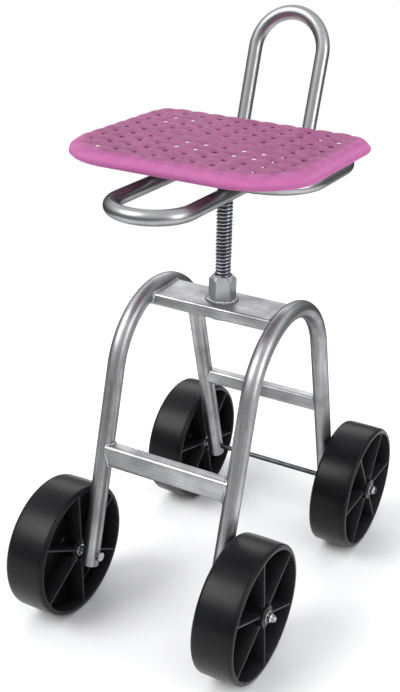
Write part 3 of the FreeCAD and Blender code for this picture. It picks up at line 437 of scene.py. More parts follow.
def placed(tree, group, **inputs):
    """The outputs of a node group placed in a material with its own values."""
    made = tree.nodes.new("ShaderNodeGroup")
    made.node_tree = bpy.data.node_groups[group]
    feed_all(tree, made.inputs, inputs)
    return made.outputs


def mix(tree, factor, first, second):
    """A mix of two colours."""
    made = tree.nodes.new("ShaderNodeMix")
    made.data_type = "RGBA"
    for number, value in ((0, factor), (6, first), (7, second)):
        feed(tree, made.inputs[number], value)
    return made.outputs[2]


def worked(tree, operation, *values):
    """The result of a sum on numbers."""
    made = tree.nodes.new("ShaderNodeMath")
    made.operation = operation
    for socket, value in zip(made.inputs, values):
        feed(tree, socket, value)
    return made.outputs[0]


def span(tree, value, low, high, start=0.0, end=1.0):
    """A value carried from the range low to high onto the range start to end."""
    made = add(tree, "MapRange", Value=value, From_Min=low, From_Max=high, To_Min=start, To_Max=end)
    return made.outputs[0]


def on_piece(tree):
    """Coordinates that stay on the piece."""
    return tree.nodes.new("ShaderNodeTexCoord").outputs["Object"]


def noise(tree, place, scale, detail):
    """A noise over coordinates, from 0 to 1."""
    return add(tree, "TexNoise", Vector=place, Scale=scale, Detail=detail).outputs["Fac"]


def own_mark(tree, name):
    """A mark that the piece's own points carry."""
    made = tree.nodes.new("ShaderNodeAttribute")
    made.attribute_name = name
    return made.outputs["Fac"]


def new_group(name, inputs, outputs):
    """An empty node group with named sockets, and the ends that its nodes join."""
    tree = bpy.data.node_groups.new(name, "ShaderNodeTree")
    for way, sockets in (("INPUT", inputs), ("OUTPUT", outputs)):
        for label, kind in sockets.items():
            tree.interface.new_socket(label, in_out=way, socket_type="NodeSocket" + kind)
    return tree, tree.nodes.new("NodeGroupInput").outputs, tree.nodes.new("NodeGroupOutput").inputs


def patches_group():
    """Slow patches over fine specks: two noises mix two colours and set a roughness between two ends."""
    tree, given, result = new_group(
        "finish_patches",
        {"Colour": "Color", "Patch Colour": "Color", "Patch Scale": "Float", "Speck Scale": "Float",
         "Smooth": "Float", "Rough": "Float"},
        {"Colour": "Color", "Roughness": "Float", "Height": "Float"})
    place = on_piece(tree)
    slow = noise(tree, place, given["Patch Scale"], 3.0)
    fine = noise(tree, place, given["Speck Scale"], 2.0)
    mask = span(tree, worked(tree, "MULTIPLY_ADD", fine, 0.45, slow), 0.5, 0.95)
    tree.links.new(mix(tree, mask, given["Colour"], given["Patch Colour"]), result["Colour"])
    tree.links.new(span(tree, mask, 0.0, 1.0, given["Smooth"], given["Rough"]), result["Roughness"])
    tree.links.new(fine, result["Height"])


def edge_highlight_group():
    """Painted edge highlights: where the piece's own mark of painted light is high and a noise allows it, a second
    colour shows.
    """
    tree, given, result = new_group(
        "rubbed_edges", {"Colour": "Color", "Edge Colour": "Color"}, {"Colour": "Color"})
    breaks = span(tree, noise(tree, on_piece(tree), 90.0, 4.0), 0.25, 0.6, 0.55, 1.0)
    mask = worked(tree, "MULTIPLY", own_mark(tree, "worn"), breaks)
    tree.links.new(mix(tree, mask, given["Colour"], given["Edge Colour"]), result["Colour"])


def lines_group():
    """Lengthwise streaks, partly the tube's drawing lines and partly painted reflections of the surroundings: a
    noise over coordinates that run fine across and slow along shows a second colour.
    """
    tree, given, result = new_group(
        "drawn_lines", {"Colour": "Color", "Line Colour": "Color", "Place": "Vector", "Depth": "Float"},
        {"Colour": "Color"})
    lines = span(tree, noise(tree, given["Place"], 1.0, 2.0), 0.4, 0.68)
    mask = worked(tree, "MULTIPLY", lines, given["Depth"])
    tree.links.new(mix(tree, mask, given["Colour"], given["Line Colour"]), result["Colour"])


def opaque(tint):
    """A colour property as four numbers."""
    return (*tint, 1.0)


def new_material(name):
    """A new material, its nodes and the inputs of its shader."""
    material = bpy.data.materials.new(name + "_finish")
    material.use_nodes = True
    return material, material.node_tree, material.node_tree.nodes["Principled BSDF"].inputs


def finish_of(name):
    """The finish made under this name."""
    return bpy.data.materials[name + "_finish"]


def coated(name, tint, patch, gloss, scales, raised, **constants):
    """A finish whose patches vary its colour and gloss and whose specks raise it.

    Gloss holds its least and most roughness, scales those of patches and specks, and raised the bump's
    height and strength. The constants go to the shader's own sockets. It gives back the nodes, the
    socket that the colour still has to reach, and the patches' colour.
    """
    _, tree, shader = new_material(name)
    looks = placed(tree, "finish_patches", Colour=opaque(tint), Patch_Colour=opaque(patch),
                   Patch_Scale=scales[0], Speck_Scale=scales[1], Smooth=gloss[0], Rough=gloss[1])
    bump = add(tree, "Bump", Height=looks["Height"], Distance=raised[0], Strength=raised[1])
    feed_all(tree, shader, {"Roughness": looks["Roughness"], "Normal": bump.outputs["Normal"], **constants})
    return tree, shader["Base Color"], looks["Colour"]


def along_bar(tree):
    """Coordinates for lines along X: fine across a bar and slow along it."""
    scale = (BREAKS_TO_A_METRE, LINES_TO_A_METRE, LINES_TO_A_METRE)
    return add(tree, "Mapping", Vector=on_piece(tree), Scale=scale).outputs[0]


def along_arch(tree):
    """Coordinates for lines along an arch.

    Across the tube they are X and the distance from the crown's centre, which below that centre is
    the distance from the middle less the lean of the legs times the depth; along it they are Z.
    """
    weld = bpy.context.scene.garden_seat.weld
    x, y, z = add(tree, "SeparateXYZ", Vector=on_piece(tree)).outputs
    above = worked(tree, "SUBTRACT", z, weld.crown_height - weld.crown_radius)
    upper = worked(tree, "MAXIMUM", above, 0.0)
    square = worked(tree, "MULTIPLY_ADD", y, y, worked(tree, "MULTIPLY", upper, upper))
    lower = worked(tree, "MINIMUM", above, 0.0)
    across = worked(tree, "MULTIPLY_ADD", lower, math.tan(leg_line(weld)[0]), worked(tree, "SQRT", square))
    fine = [worked(tree, "MULTIPLY", part, LINES_TO_A_METRE) for part in (x, across)]
    slow = worked(tree, "MULTIPLY", z, BREAKS_TO_A_METRE)
    return add(tree, "CombineXYZ", X=fine[0], Y=fine[1], Z=slow).outputs[0]


def metal(name, tint, patch, gloss, scales, strength, lines=None, depth=0.0):
    """A plated metal, which lengthwise streaks may cross, partly drawing lines and partly painted reflections."""
    grazing = opaque(bpy.context.scene.garden_seat.finish.grazing)
    # The grazing tint paints shade into the metal's reflection at its edges.
    tree, base, tone = coated(name, tint, patch, gloss, scales, (0.0002, strength), Metallic=1.0,
                              Specular_Tint=grazing)
    if lines:
        # Partly painted reflections: darker lengthwise streaks along the tube.
        dark = opaque(0.5 * part for part in patch)
        tone = placed(tree, "drawn_lines", Colour=tone, Line_Colour=dark, Place=lines(tree), Depth=depth)[0]
    tree.links.new(tone, base)


def screw_metal(finish):
    """Lift thread: the root mark mixes bright crests with dark roots, painted shade in the thread's roots, and
    noise breaks up the gloss.
    """
    # The grazing tint paints shade at the thread's edges, and the dark roots are painted shade.
    tree, base, tone = coated("screw_steel", finish.screw, finish.zinc_dull, (0.2, 0.34), (60.0, 900.0),
                              (0.0001, 0.3), Metallic=1.0, Specular_Tint=opaque(finish.grazing))
    tree.links.new(mix(tree, own_mark(tree, "root"), tone, opaque(finish.screw_root)), base)


def wheel_plastic(finish):
    """Black moulded plastic: fine grain, slow changes of gloss, and painted highlights on the rounded edges."""
    # Grey patches: partly scuffs, partly painted highlights on the tread.
    scuff_and_sheen_grey = [2.4 * part for part in finish.wheel]
    tree, base, tone = coated("wheel_plastic", finish.wheel, scuff_and_sheen_grey, (0.25, 0.36), (14.0, 1400.0),
                              (0.00025, 0.35), Specular_IOR_Level=0.17)
    # Painted highlights on the wheels' rounded edges.
    worn = placed(tree, "rubbed_edges", Colour=tone, Edge_Colour=opaque(finish.wheel_edge_highlight))
    tree.links.new(worn["Colour"], base)


def seat_plastic(finish):
    """Moulded seat: a dull top, darker than the skirt partly from dirt and partly as painted shade, a skirt
    painted lighter as the edge turns down, painted shade in the weave's recesses by their depth, and a fine grain.
    """
    tree, base, tone = coated("seat_plastic", finish.seat, finish.seat_pale, (0.5, 0.64), (90.0, 300.0),
                              (0.00025, 0.3), Specular_IOR_Level=0.1, Subsurface_Weight=0.4,
                              Subsurface_Radius=(1.0, 0.5, 0.8), Subsurface_Scale=0.006)
    # Painted light: the skirt mark lightens the rolled edge towards the skirt colour as it turns down.
    skirt_lit = mix(tree, own_mark(tree, "edge"), tone, opaque(finish.seat_skirt_light))
    # Painted shade: the recess mark darkens the weave's recesses towards the recess colour.
    tree.links.new(mix(tree, own_mark(tree, "recess"), skirt_lit, opaque(finish.seat_recess_shade)), base)


def make_finishes(finish):
    """Every finish of the object; those of the record's slots are made under the slots' names."""
    patches_group()
    edge_highlight_group()
    lines_group()
    for name, *lines in (("satin_zinc",), ("bar_zinc", along_bar, 0.28), ("arch_zinc", along_arch, 0.5)):
        metal(name, finish.zinc, finish.zinc_dull, (0.34, 0.46), (24.0, 700.0), 0.25, *lines)
    metal("bright_zinc", finish.bright, finish.zinc, (0.2, 0.34), (90.0, 1500.0), 0.25)
    metal("weld_metal", finish.bright, finish.zinc_dull, (0.26, 0.46), (160.0, 1500.0), 0.4)
    metal("nut_metal", finish.bright, finish.zinc, (0.4, 0.54), (60.0, 900.0), 0.3)
    metal("rod_steel", finish.dark_steel, finish.screw_root, (0.3, 0.4), (60.0, 900.0), 0.2)
    metal("polished_tube", finish.chrome, finish.chrome_dull, (0.3, 0.4), (16.0, 500.0), 0.06)
    screw_metal(finish)
    wheel_plastic(finish)
    seat_plastic(finish)


# Pieces


def seat_profile(seat, steps):
    """The rolled edge as inset from the outline, drop, and angle of the surface, by equal steps.

    The wide roll is an arc from the flat top; the tight lip is an arc tangent to it that passes the
    vertical and curls under.
    """
    roll, lip = seat.roll_angle, math.pi / 2 + seat.lip_angle
    first = seat.roll_radius * roll
    run = np.linspace(0, first + seat.lip_radius * (lip - roll), steps + 1)[1:]
    turn = np.where(run < first, run / seat.roll_radius, roll + (run - first) / seat.lip_radius)
    width = seat.roll_radius * math.sin(roll) + seat.lip_radius * (1 - math.sin(roll))
    lip_drop = -seat.roll_radius + (seat.roll_radius - seat.lip_radius) * math.cos(roll)
    inset = np.where(run < first, width - seat.roll_radius * np.sin(turn),
                     seat.lip_radius * (1 - np.sin(turn)))
    drop = np.where(run < first, seat.roll_radius * (np.cos(turn) - 1),
                    lip_drop + seat.lip_radius * np.cos(turn))
    return width, run, inset, drop, turn


def weave_height(across, along):
    """Plain weave over holes at whole numbers, from -1.2 in the recesses to 1 on top.

    A strand along X rises as sine(pi X) and changes sign from one strand to the next; a strand along Y
    is its opposite. Each falls by the square of the distance from its own middle, and the higher shows.
    """
    over = np.sin(np.pi * across) * np.sign(np.sin(np.pi * along))
    under = -np.sin(np.pi * along) * np.sign(np.sin(np.pi * across))
    off_middle = [2 * (place - np.floor(place) - 0.5) for place in (along, across)]
    fall_over, fall_under = [DEEPEST * off ** 2 for off in off_middle]
    return np.maximum(over - fall_over, under - fall_under)


def edge_place(seat, plan):
    """Where plan points lie against the seat's outline, from the seat's middle.

    The rectangle through the corners' centres is clamped apart for front and rear. Given are the
    nearest point of it, the direction from there, the distance, and the corner's radius.
    """
    corner = np.where(plan[..., 1:] < 0, seat.front_corner, seat.rear_corner)
    limit = SEAT_HALF - corner
    level = np.clip(plan, -limit, limit)
    out = plan - level
    reach = np.linalg.norm(out, axis=-1, keepdims=True)
    return level, out / np.maximum(reach, 1e-9), reach, corner


def strip(rows):
    """Faces between rows of point numbers that run round in a loop."""
    after = np.roll(rows, -1, axis=1)
    return np.stack([rows[:-1], after[:-1], after[1:], rows[1:]], axis=-1).reshape(-1, 4)


def quads(grid, cells):
    """Faces of the chosen cells of a grid of point numbers."""
    row, column = np.nonzero(cells)
    return np.stack([grid[row, column], grid[row, column + 1],
                     grid[row + 1, column + 1], grid[row + 1, column]], axis=-1)


def four_about(grid):
    """The four entries about each inner crossing of a grid, as four grids."""
    return grid[:-1, :-1], grid[1:, :-1], grid[:-1, 1:], grid[1:, 1:]


def hole_walls(upper, lower, holes):
    """Faces between two grids of point numbers, round every hole."""
    fringe = np.pad(holes, 1).astype(int)
    walls = []
    for change, (down, right) in ((np.diff(fringe[:, 1:-1], axis=0), (0, 1)),
                                  (np.diff(fringe[1:-1], axis=1), (1, 0))):
        one = np.nonzero(change)
        two = (one[0] + down, one[1] + right)
        walls.append(np.stack([upper[one], upper[two], lower[two], lower[one]], axis=-1))
    return np.concatenate(walls)


def woven_shell(seat):
    """The moulded seat as one closed shell, with its recess mark of painted shade and its skirt mark of painted
    light.

    The flat top is a square grid of which the cells inside the outline stay, with their border moved
    onto it. From each border point a column follows the rolled edge. The weave moves the outside along
    its normal and fades down the skirt. The inside lies one wall below the plain surface, and the wall
    thins in a straight slope towards each hole.
    """
    width, run, inset, drop, turn = seat_profile(seat, SKIRT_STEPS)
    step = seat.pitch / seat.cells
    counts = np.floor((SEAT_HALF - width) / step).astype(int)
    lines = [step * np.arange(-count, count + 1) for count in counts]
    plan = np.stack(np.meshgrid(*lines, indexing="ij"), axis=-1)
    level, out, reach, corner = edge_place(seat, plan)
    within = (reach <= corner - width)[..., 0]
    flat = np.all(four_about(within), axis=0)
    touching = np.sum(four_about(np.pad(flat, 1)), axis=0)
    border = (touching > 0) & (touching < 4)
    middle = (plan[:-1, :-1] + plan[1:, 1:]) / 2 / seat.pitch
    nearest = np.rint(middle)
    rank = np.abs(nearest)
    drilled = np.any([(rank <= field).all(-1) for field in HOLE_FIELDS], axis=0)
    holes = drilled & (np.abs(middle - nearest) < seat.hole / seat.pitch / 2).all(-1)
    plan = np.where(border[..., None], level + out * (corner - width), plan)
    order = np.argsort(np.arctan2(plan[border][:, 1], plan[border][:, 0]))
    loop = tuple(np.argwhere(border)[order].T)
    level, out, corner = level[loop], out[loop], corner[loop]

    def along(column):
        """Values down the skirt, set against the points round it."""
        return column[:, None, None]

    wave = weave_height(*np.moveaxis(plan / seat.pitch, -1, 0))
    top = np.concatenate([plan, SEAT_HIGH.z + seat.relief * wave[..., None]], axis=-1)
    from_hole = np.abs(plan - seat.pitch * np.rint(plan / seat.pitch)).max(-1)
    thinned = seat.hole_wall + (seat.wall - seat.hole_wall) * np.clip(from_hole / seat.hole - 1, 0, 1)
    bottom = np.concatenate([plan, (SEAT_HIGH.z - thinned)[..., None]], axis=-1)
    plain = np.concatenate([level + out * (corner - along(inset)),
                            SEAT_HIGH.z + along(drop) + 0 * corner], axis=-1)
    normal = np.concatenate([out * along(np.sin(turn)), along(np.cos(turn)) + 0 * corner], axis=-1)
    unrolled = (level + out * (corner - width + along(run))) / seat.pitch
    fade = np.interp(turn, [0, seat.roll_angle, np.pi / 2, np.pi / 2 + seat.lip_angle], [1, 0.9, 0.6, 0])
    skirt_wave = weave_height(*np.moveaxis(unrolled, -1, 0)) * fade[:, None]
    outside = plain + seat.relief * skirt_wave[..., None] * normal
    inside = plain - seat.wall * normal
    sizes = [plan.shape[:2], plan.shape[:2], plain.shape[:2], plain.shape[:2]]
    starts = np.cumsum([0] + [rows * columns for rows, columns in sizes])
    upper, lower, outer, inner = [start + np.arange(rows * columns).reshape(rows, columns)
                                  for start, (rows, columns) in zip(starts, sizes)]
    faces = np.concatenate([
        quads(upper, flat & ~holes), quads(lower, flat & ~holes), hole_walls(upper, lower, holes),
        strip(np.vstack([upper[loop], outer])), strip(np.vstack([lower[loop], inner])),
        strip(np.vstack([outer[-1], inner[-1]]))])
    used, faces = np.unique(faces, return_inverse=True)
    points = np.concatenate([part.reshape(-1, 3) for part in (top, bottom, outside, inside)])[used]
    points[:, :2] += SEAT_MIDDLE
    # The recess mark, painted shade in the weave's recesses, starts at a weave height of -0.31 and is full at
    # -0.94.
    none = np.zeros(plan.shape[:2])
    # The skirt mark, painted light by the surface's tilt, grows from 0.2 at the top of the roll to 1 where the
    # roll ends.
    skirt = np.repeat(np.interp(turn, [0, seat.roll_angle], [0.2, 1])[:, None], len(level), axis=1)
    recess = [np.clip(-1.6 * wave - 0.5, 0, 1), none, 0 * skirt, 0 * skirt]
    edge = [none, none, skirt, skirt]
    marks = [np.concatenate([part.ravel() for part in mark])[used] for mark in (recess, edge)]
    return points, faces.reshape(-1, 4).tolist(), marks


def block(low, high, easing):
    """A plain block: a rectangle with eased corners, carried from its low end to its high end."""
    outline = rounded([(low[0], low[1]), (high[0], low[1]), (high[0], high[1]), (low[0], high[1])], easing, 4)
    ends = [np.concatenate([outline, np.full((len(outline), 1), height)], axis=1)
            for height in (low[2], high[2])]
    return rings_shell(np.stack(ends), False)


def rest_ribs(seat):
    """The four ribs under the seat, one over each straight run of the rim tube, rooted in the wall."""
    tube = RIM_HIGH.z - RIM_LOW.z
    middle = np.array([RIM_HIGH.x, RIM_HIGH.y]) - tube / 2
    run = middle - seat.rim_corner
    low, high = RIM_HIGH.z + seat.rib_gap, SEAT_HIGH.z - 0.6 * seat.wall
    made = []
    for side in (-1, 1):
        for centre, half in (((side * middle[0], 0), (seat.rib / 2, run[1])),
                             ((0, side * middle[1]), (run[0], seat.rib / 2))):
            start, end = np.subtract(centre, half), np.add(centre, half)
            made.append(block((*start, low), (*end, high), seat.rib / 4))
    return made


def screw_bosses(seat):
    """The four bosses under the seat that take its screws, rooted in the wall."""
    foot, root = TABS_HIGH.z + seat.boss_gap, SEAT_HIGH.z - 0.8 * seat.wall
    profile = rounded([(0, seat.pilot / 2), (0, seat.boss / 2), (root - foot, seat.boss / 2),
                       (root - foot, seat.pilot / 2)], 0.0004, 4)
    rings = upright(turned(profile, 32))
    x, y = SEAT_SCREWS_HIGH.x - seat.screw_head / 2, SEAT_SCREWS_HIGH.y - seat.screw_head / 2
    return [rings_shell(rings + np.array([side * x, end * y, foot]), True)
            for side in (-1, 1) for end in (-1, 1)]


class GARDENSEAT_OT_seat(bpy.types.Operator):
    """Mould the woven seat with its rolled skirt, its ribs and its bosses"""
    bl_idname = "gardenseat.seat"
    bl_label = "Mould the seat"

    def execute(self, context):
        seat = context.scene.garden_seat.seat
        points, faces, marks = woven_shell(seat)
        below = rest_ribs(seat) + screw_bosses(seat)
        plain = np.zeros(sum(len(shell[0]) for shell in below))
        recess, edge = [np.concatenate([mark, plain]) for mark in marks]
        piece("woven_seat", [(points, faces)] + below, "seat", "seat_plastic", "seat_plastic",
              ["seat_shell"], 50, recess=recess, edge=edge)
        return {"FINISHED"}


class GARDENSEAT_OT_screw(bpy.types.Operator):
    """Cut the thread of the lift screw"""
    bl_idname = "gardenseat.screw"
    bl_label = "Cut the lift screw"

    def execute(self, context):
        screw = context.scene.garden_seat.screw
        low, high = SCREW_LOW.z, SCREW_HIGH.z
        height, around = np.append(np.arange(low, high, screw.pitch / 14), high)[:, None], full_turn(64)
        crest, foot, head = screw.diameter / 2, screw.foot / 2, screw.head / 2
        shoulder, neck = low + screw.foot_length, high - screw.head_length
        chamfer, run_in, run_out = 0.0015, 0.001, 0.0005
        ends = [low, low + chamfer, shoulder, shoulder + run_in, shoulder + 3 * run_in, neck - run_out, neck,
                high]
        limits = [foot - chamfer, foot, foot, crest - screw.depth, crest, crest, head, head]
        # The root mark carries the painted shade of the thread's roots.
        root = thread_wave(height, around, screw.pitch, 1.7)
        radius = np.minimum(np.interp(height, ends, limits), crest - screw.depth * root)
        rings = upright(about_x(height, radius, around))
        piece("lift_screw_thread", [rings_shell(rings, False)], "seat", "screw_steel", "screw_steel",
              ["lift_screw"], 50, root=root.ravel())
        return {"FINISHED"}


class GARDENSEAT_OT_nut(bpy.types.Operator):
    """Make the tall lift nut and the weld round its foot"""
    bl_idname = "gardenseat.nut"
    bl_label = "Make the lift nut"

    def execute(self, context):
        screw = context.scene.garden_seat.screw
        base, tall = NUT_LOW.z, NUT_HIGH.z - NUT_LOW.z
        clearance, lift, ripple, gap = 0.00008, 0.0012, 0.0036, 0.00005
        bore, corner = screw.diameter / 2 + clearance, screw.flats / 2 * UNCUT_CORNER
        top = (screw.flats - screw.chamfer) / 2
        profile = rounded([
            (0, bore), (0, corner), (tall - corner + top, corner), (tall, top),
            (tall, bore + screw.countersink), (tall - screw.countersink, bore),
        ], [0.0003, 0.0006, 0.0016, 0.0008, 0.0004, 0.0003], 5)
        nut = upright(six_sided(profile, screw.flats, 144)) + np.array([0, 0, base])
        piece("lift_nut_body", [rings_shell(nut, True)], "chassis", "bright_zinc", "nut_metal",
              ["lift_nut"], 30)
        around = full_turn(359)
        reach = 0.4 * hexagon(around, screw.flats) + 0.6 * screw.flats / math.sqrt(3) + 0.2 * screw.bead
        outward = np.stack([np.cos(around), np.sin(around), 0 * around], axis=1)
        path = reach[:, None] * outward + np.array([0, 0, base + lift])
        bead = bead_rings(path, outward, 1.2 * screw.bead, ripple, True)
        bead[..., 2] = np.maximum(bead[..., 2], base + gap)
        piece("nut_weld", [rings_shell(bead, True)], "chassis", "bright_zinc", "weld_metal",
              ["nut_weld_bead"], 60)
        return {"FINISHED"}


def leg_line(weld):
    """Angle of the legs from the vertical, tangent to the crown and through the axle, and a point on one."""
    out, drop = abs(AXLES["rear_right"][1]), weld.crown_height - weld.crown_radius - AXLES["rear_right"][2]
    lean = math.acos(weld.crown_radius / math.hypot(out, drop)) - math.atan2(drop, out)
    return lean, out, AXLES["rear_right"][2]


def tube_face(weld, off_axis):
    """Inner side of an arch tube at a distance from its middle line, as a distance from the middle."""
    return weld.spacing / 2 - np.sqrt(np.maximum((weld.tube / 2) ** 2 - off_axis ** 2, 0))


def leg_offset(weld, points):
    """Distance of points (y, z) from a leg's middle line, across it."""
    lean, out, height = leg_line(weld)
    return (np.abs(points[:, 0]) - out) * math.cos(lean) + (points[:, 1] - height) * math.sin(lean)


def crown_offset(weld, points):
    """Distance of points (y, z) from a crown's middle circle."""
    return np.hypot(points[:, 0], points[:, 1] - (weld.crown_height - weld.crown_radius)) - weld.crown_radius


def stretches(loop, wanted):
    """The parts of a closed line where its points are wanted, begun at a point that isn't."""
    start = np.argmin(wanted)
    loop, wanted = np.roll(loop, -start, axis=0), np.roll(wanted, -start)
    cuts = np.flatnonzero(np.diff(wanted.astype(int))) + 1
    return np.split(loop, cuts)[1::2]


def resampled(path, count):
    """A line through the same points with its stations at equal distances."""
    run = run_along(path)
    spots = np.linspace(0, run[-1], count)
    return np.stack([np.interp(spots, run, path[:, axis]) for axis in range(path.shape[1])], axis=1)


class GARDENSEAT_OT_welds(bpy.types.Operator):
    """Lay the weld beads where the crossbars and the bridge meet the arches"""
    bl_idname = "gardenseat.welds"
    bl_label = "Lay the welds"

    def execute(self, context):
        weld = context.scene.garden_seat.weld
        shells = []

        def lay(points, offset):
            """Carries a bead along (y, z) points on the inner side of both arch tubes."""
            face = tube_face(weld, offset) - BEAD_STAND_OFF
            for side in (-1, 1):
                path = np.stack([side * face, points[:, 0], points[:, 1]], axis=1)
                outward = np.tile([-side, 0.0, 0.0], (len(path), 1))
                shells.append(rings_shell(bead_rings(path, outward, weld.bead, weld.ripple, False), False))

        near = WELDED_SHARE * weld.tube
        for bar in ("front_crossbar", "rear_crossbar"):
            low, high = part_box(bar)
            corners = [(low.y, low.z), (high.y, low.z), (high.y, high.z), (low.y, high.z)]
            loop = rounded(corners, weld.bar_corner, 8)
            loop = resampled(np.vstack([loop, loop[:1]]), 240)[:-1]
            for run in stretches(loop, np.abs(leg_offset(weld, loop)) < near):
                lay(run, leg_offset(weld, run))
        edge = np.linspace(BRIDGE_LOW.y, BRIDGE_HIGH.y, 300)
        top = np.stack([edge, np.full(300, BRIDGE_HIGH.z)], axis=1)
        lay(top, crown_offset(weld, top))
        for front in (BRIDGE_LOW.y, BRIDGE_HIGH.y):
            fall = np.stack([np.full(200, front), np.linspace(BRIDGE_HIGH.z, BRIDGE_LOW.z, 200)], axis=1)
            fall = fall[np.abs(crown_offset(weld, fall)) < near]
            lay(fall, crown_offset(weld, fall))
        piece("chassis_welds", shells, "chassis", "bright_zinc", "weld_metal", (), 60)
        return {"FINISHED"}


def on_axle(rings, wheel, start):
    """Rings about the X axis set on a wheel's axle, from a distance off the middle outwards."""
    x, y, z = AXLES[wheel]
    side = math.copysign(1, x)
    return rings * np.array([side, side, 1]) + np.array([side * start, y, z])


class GARDENSEAT_OT_fasteners(bpy.types.Operator):
    """Make the axle nuts, washers, bolts and the rear rod"""
    bl_idname = "gardenseat.fasteners"
    bl_label = "Make the axle fasteners"

    def execute(self, context):
        size, wheel = context.scene.garden_seat.fastener, context.scene.garden_seat.wheel
        clearance, bevel, ease, fine = 0.0001, 0.0011, 0.0006, 0.0003
        bore, washer, corner = size.axle / 2 + clearance, size.washer / 2, size.flats / 2 * UNCUT_CORNER
        face = size.flats / 2 - ease
        inner = size.leg_face + size.jam
        outer = abs(AXLES["rear_right"][0]) + wheel.hub_outer + size.play
        jam = rounded([(0, bore), (0, face), (bevel, corner), (size.jam - bevel, corner), (size.jam, face),
                       (size.jam, bore + ease), (size.jam - ease, bore)], fine, 4)
        ring = rounded([(0, bore), (0, washer), (size.thickness, washer), (size.thickness, bore)], 0.00045, 4)
        hexagonal, tall = 0.68 * size.lock, size.lock
        lock = rounded([(0, bore), (0, face), (bevel, corner), (hexagonal - 0.0009, corner),
                        (hexagonal, face - fine), (tall - 0.0008, face - ease), (tall, bore + 2 * ease),
                        (tall, bore)], [fine, fine, 0.0004, 0.0004, fine, 0.0009, 0.0004, 0.0002], 5)
        stock = {
            "axle_jam_nuts": (six_sided(jam, size.flats, 96), size.leg_face),
            "axle_inner_washers": (turned(ring, 64), inner),
            "axle_outer_washers": (turned(ring, 64), outer),
            "axle_lock_nuts": (six_sided(lock, size.flats, 96), outer + size.thickness),
        }
        for node, (rings, start) in stock.items():
            shells = [rings_shell(on_axle(rings, name, start), True) for name in WHEELS]
            piece(node + "_fine", shells, "chassis", "bright_zinc", "bright_zinc", [node], 30)
        tip = abs(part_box("rear_axle_rod")[1].x)
        thread = np.append(np.arange(outer - size.thread, tip, size.pitch / 10), tip)
        self.rod(size, thread)
        for side in ("left", "right"):
            self.bolt(size, thread, "front_" + side)
        return {"FINISHED"}

    def rod(self, size, thread):
        """The rear rod: a plain middle, and threads that run out to chamfered ends."""
        middle = np.linspace(-thread[0], thread[0], 12)[1:-1]
        rings = axle_bar(size, np.concatenate([-thread[::-1], middle, thread]), thread)
        _, y, z = AXLES["rear_right"]
        piece("rear_rod_threaded", [rings_shell(rings + np.array([0, y, z]), False)], "chassis",
              "bright_zinc", "rod_steel", ["rear_axle_rod"], 50)

    def bolt(self, size, thread, wheel):
        """A front axle bolt: a hexagon head inside the leg, a plain shank and a threaded end."""
        start, sunk, bevel, ease, core = size.leg_inside, 0.001, 0.001, 0.0005, 0.0008
        plain = np.linspace(start - sunk, thread[0], 8)[:-1]
        shank = axle_bar(size, np.concatenate([plain, thread]), thread)
        face, corner = size.flats / 2 - ease, size.flats / 2 * UNCUT_CORNER
        head = rounded([(0, core), (0, face), (bevel, corner), (size.head, corner), (size.head, core)],
                       [0.0002, 0.0008, 0.0005, 0.0003, 0.0002], 5)
        shells = [rings_shell(on_axle(shank, wheel, 0), False),
                  rings_shell(on_axle(six_sided(head, size.flats, 96), wheel, start - size.head), True)]
        piece(wheel + "_bolt_fine", shells, "chassis", "bright_zinc", "bright_zinc",
              [wheel + "_axle_bolt"], 30)


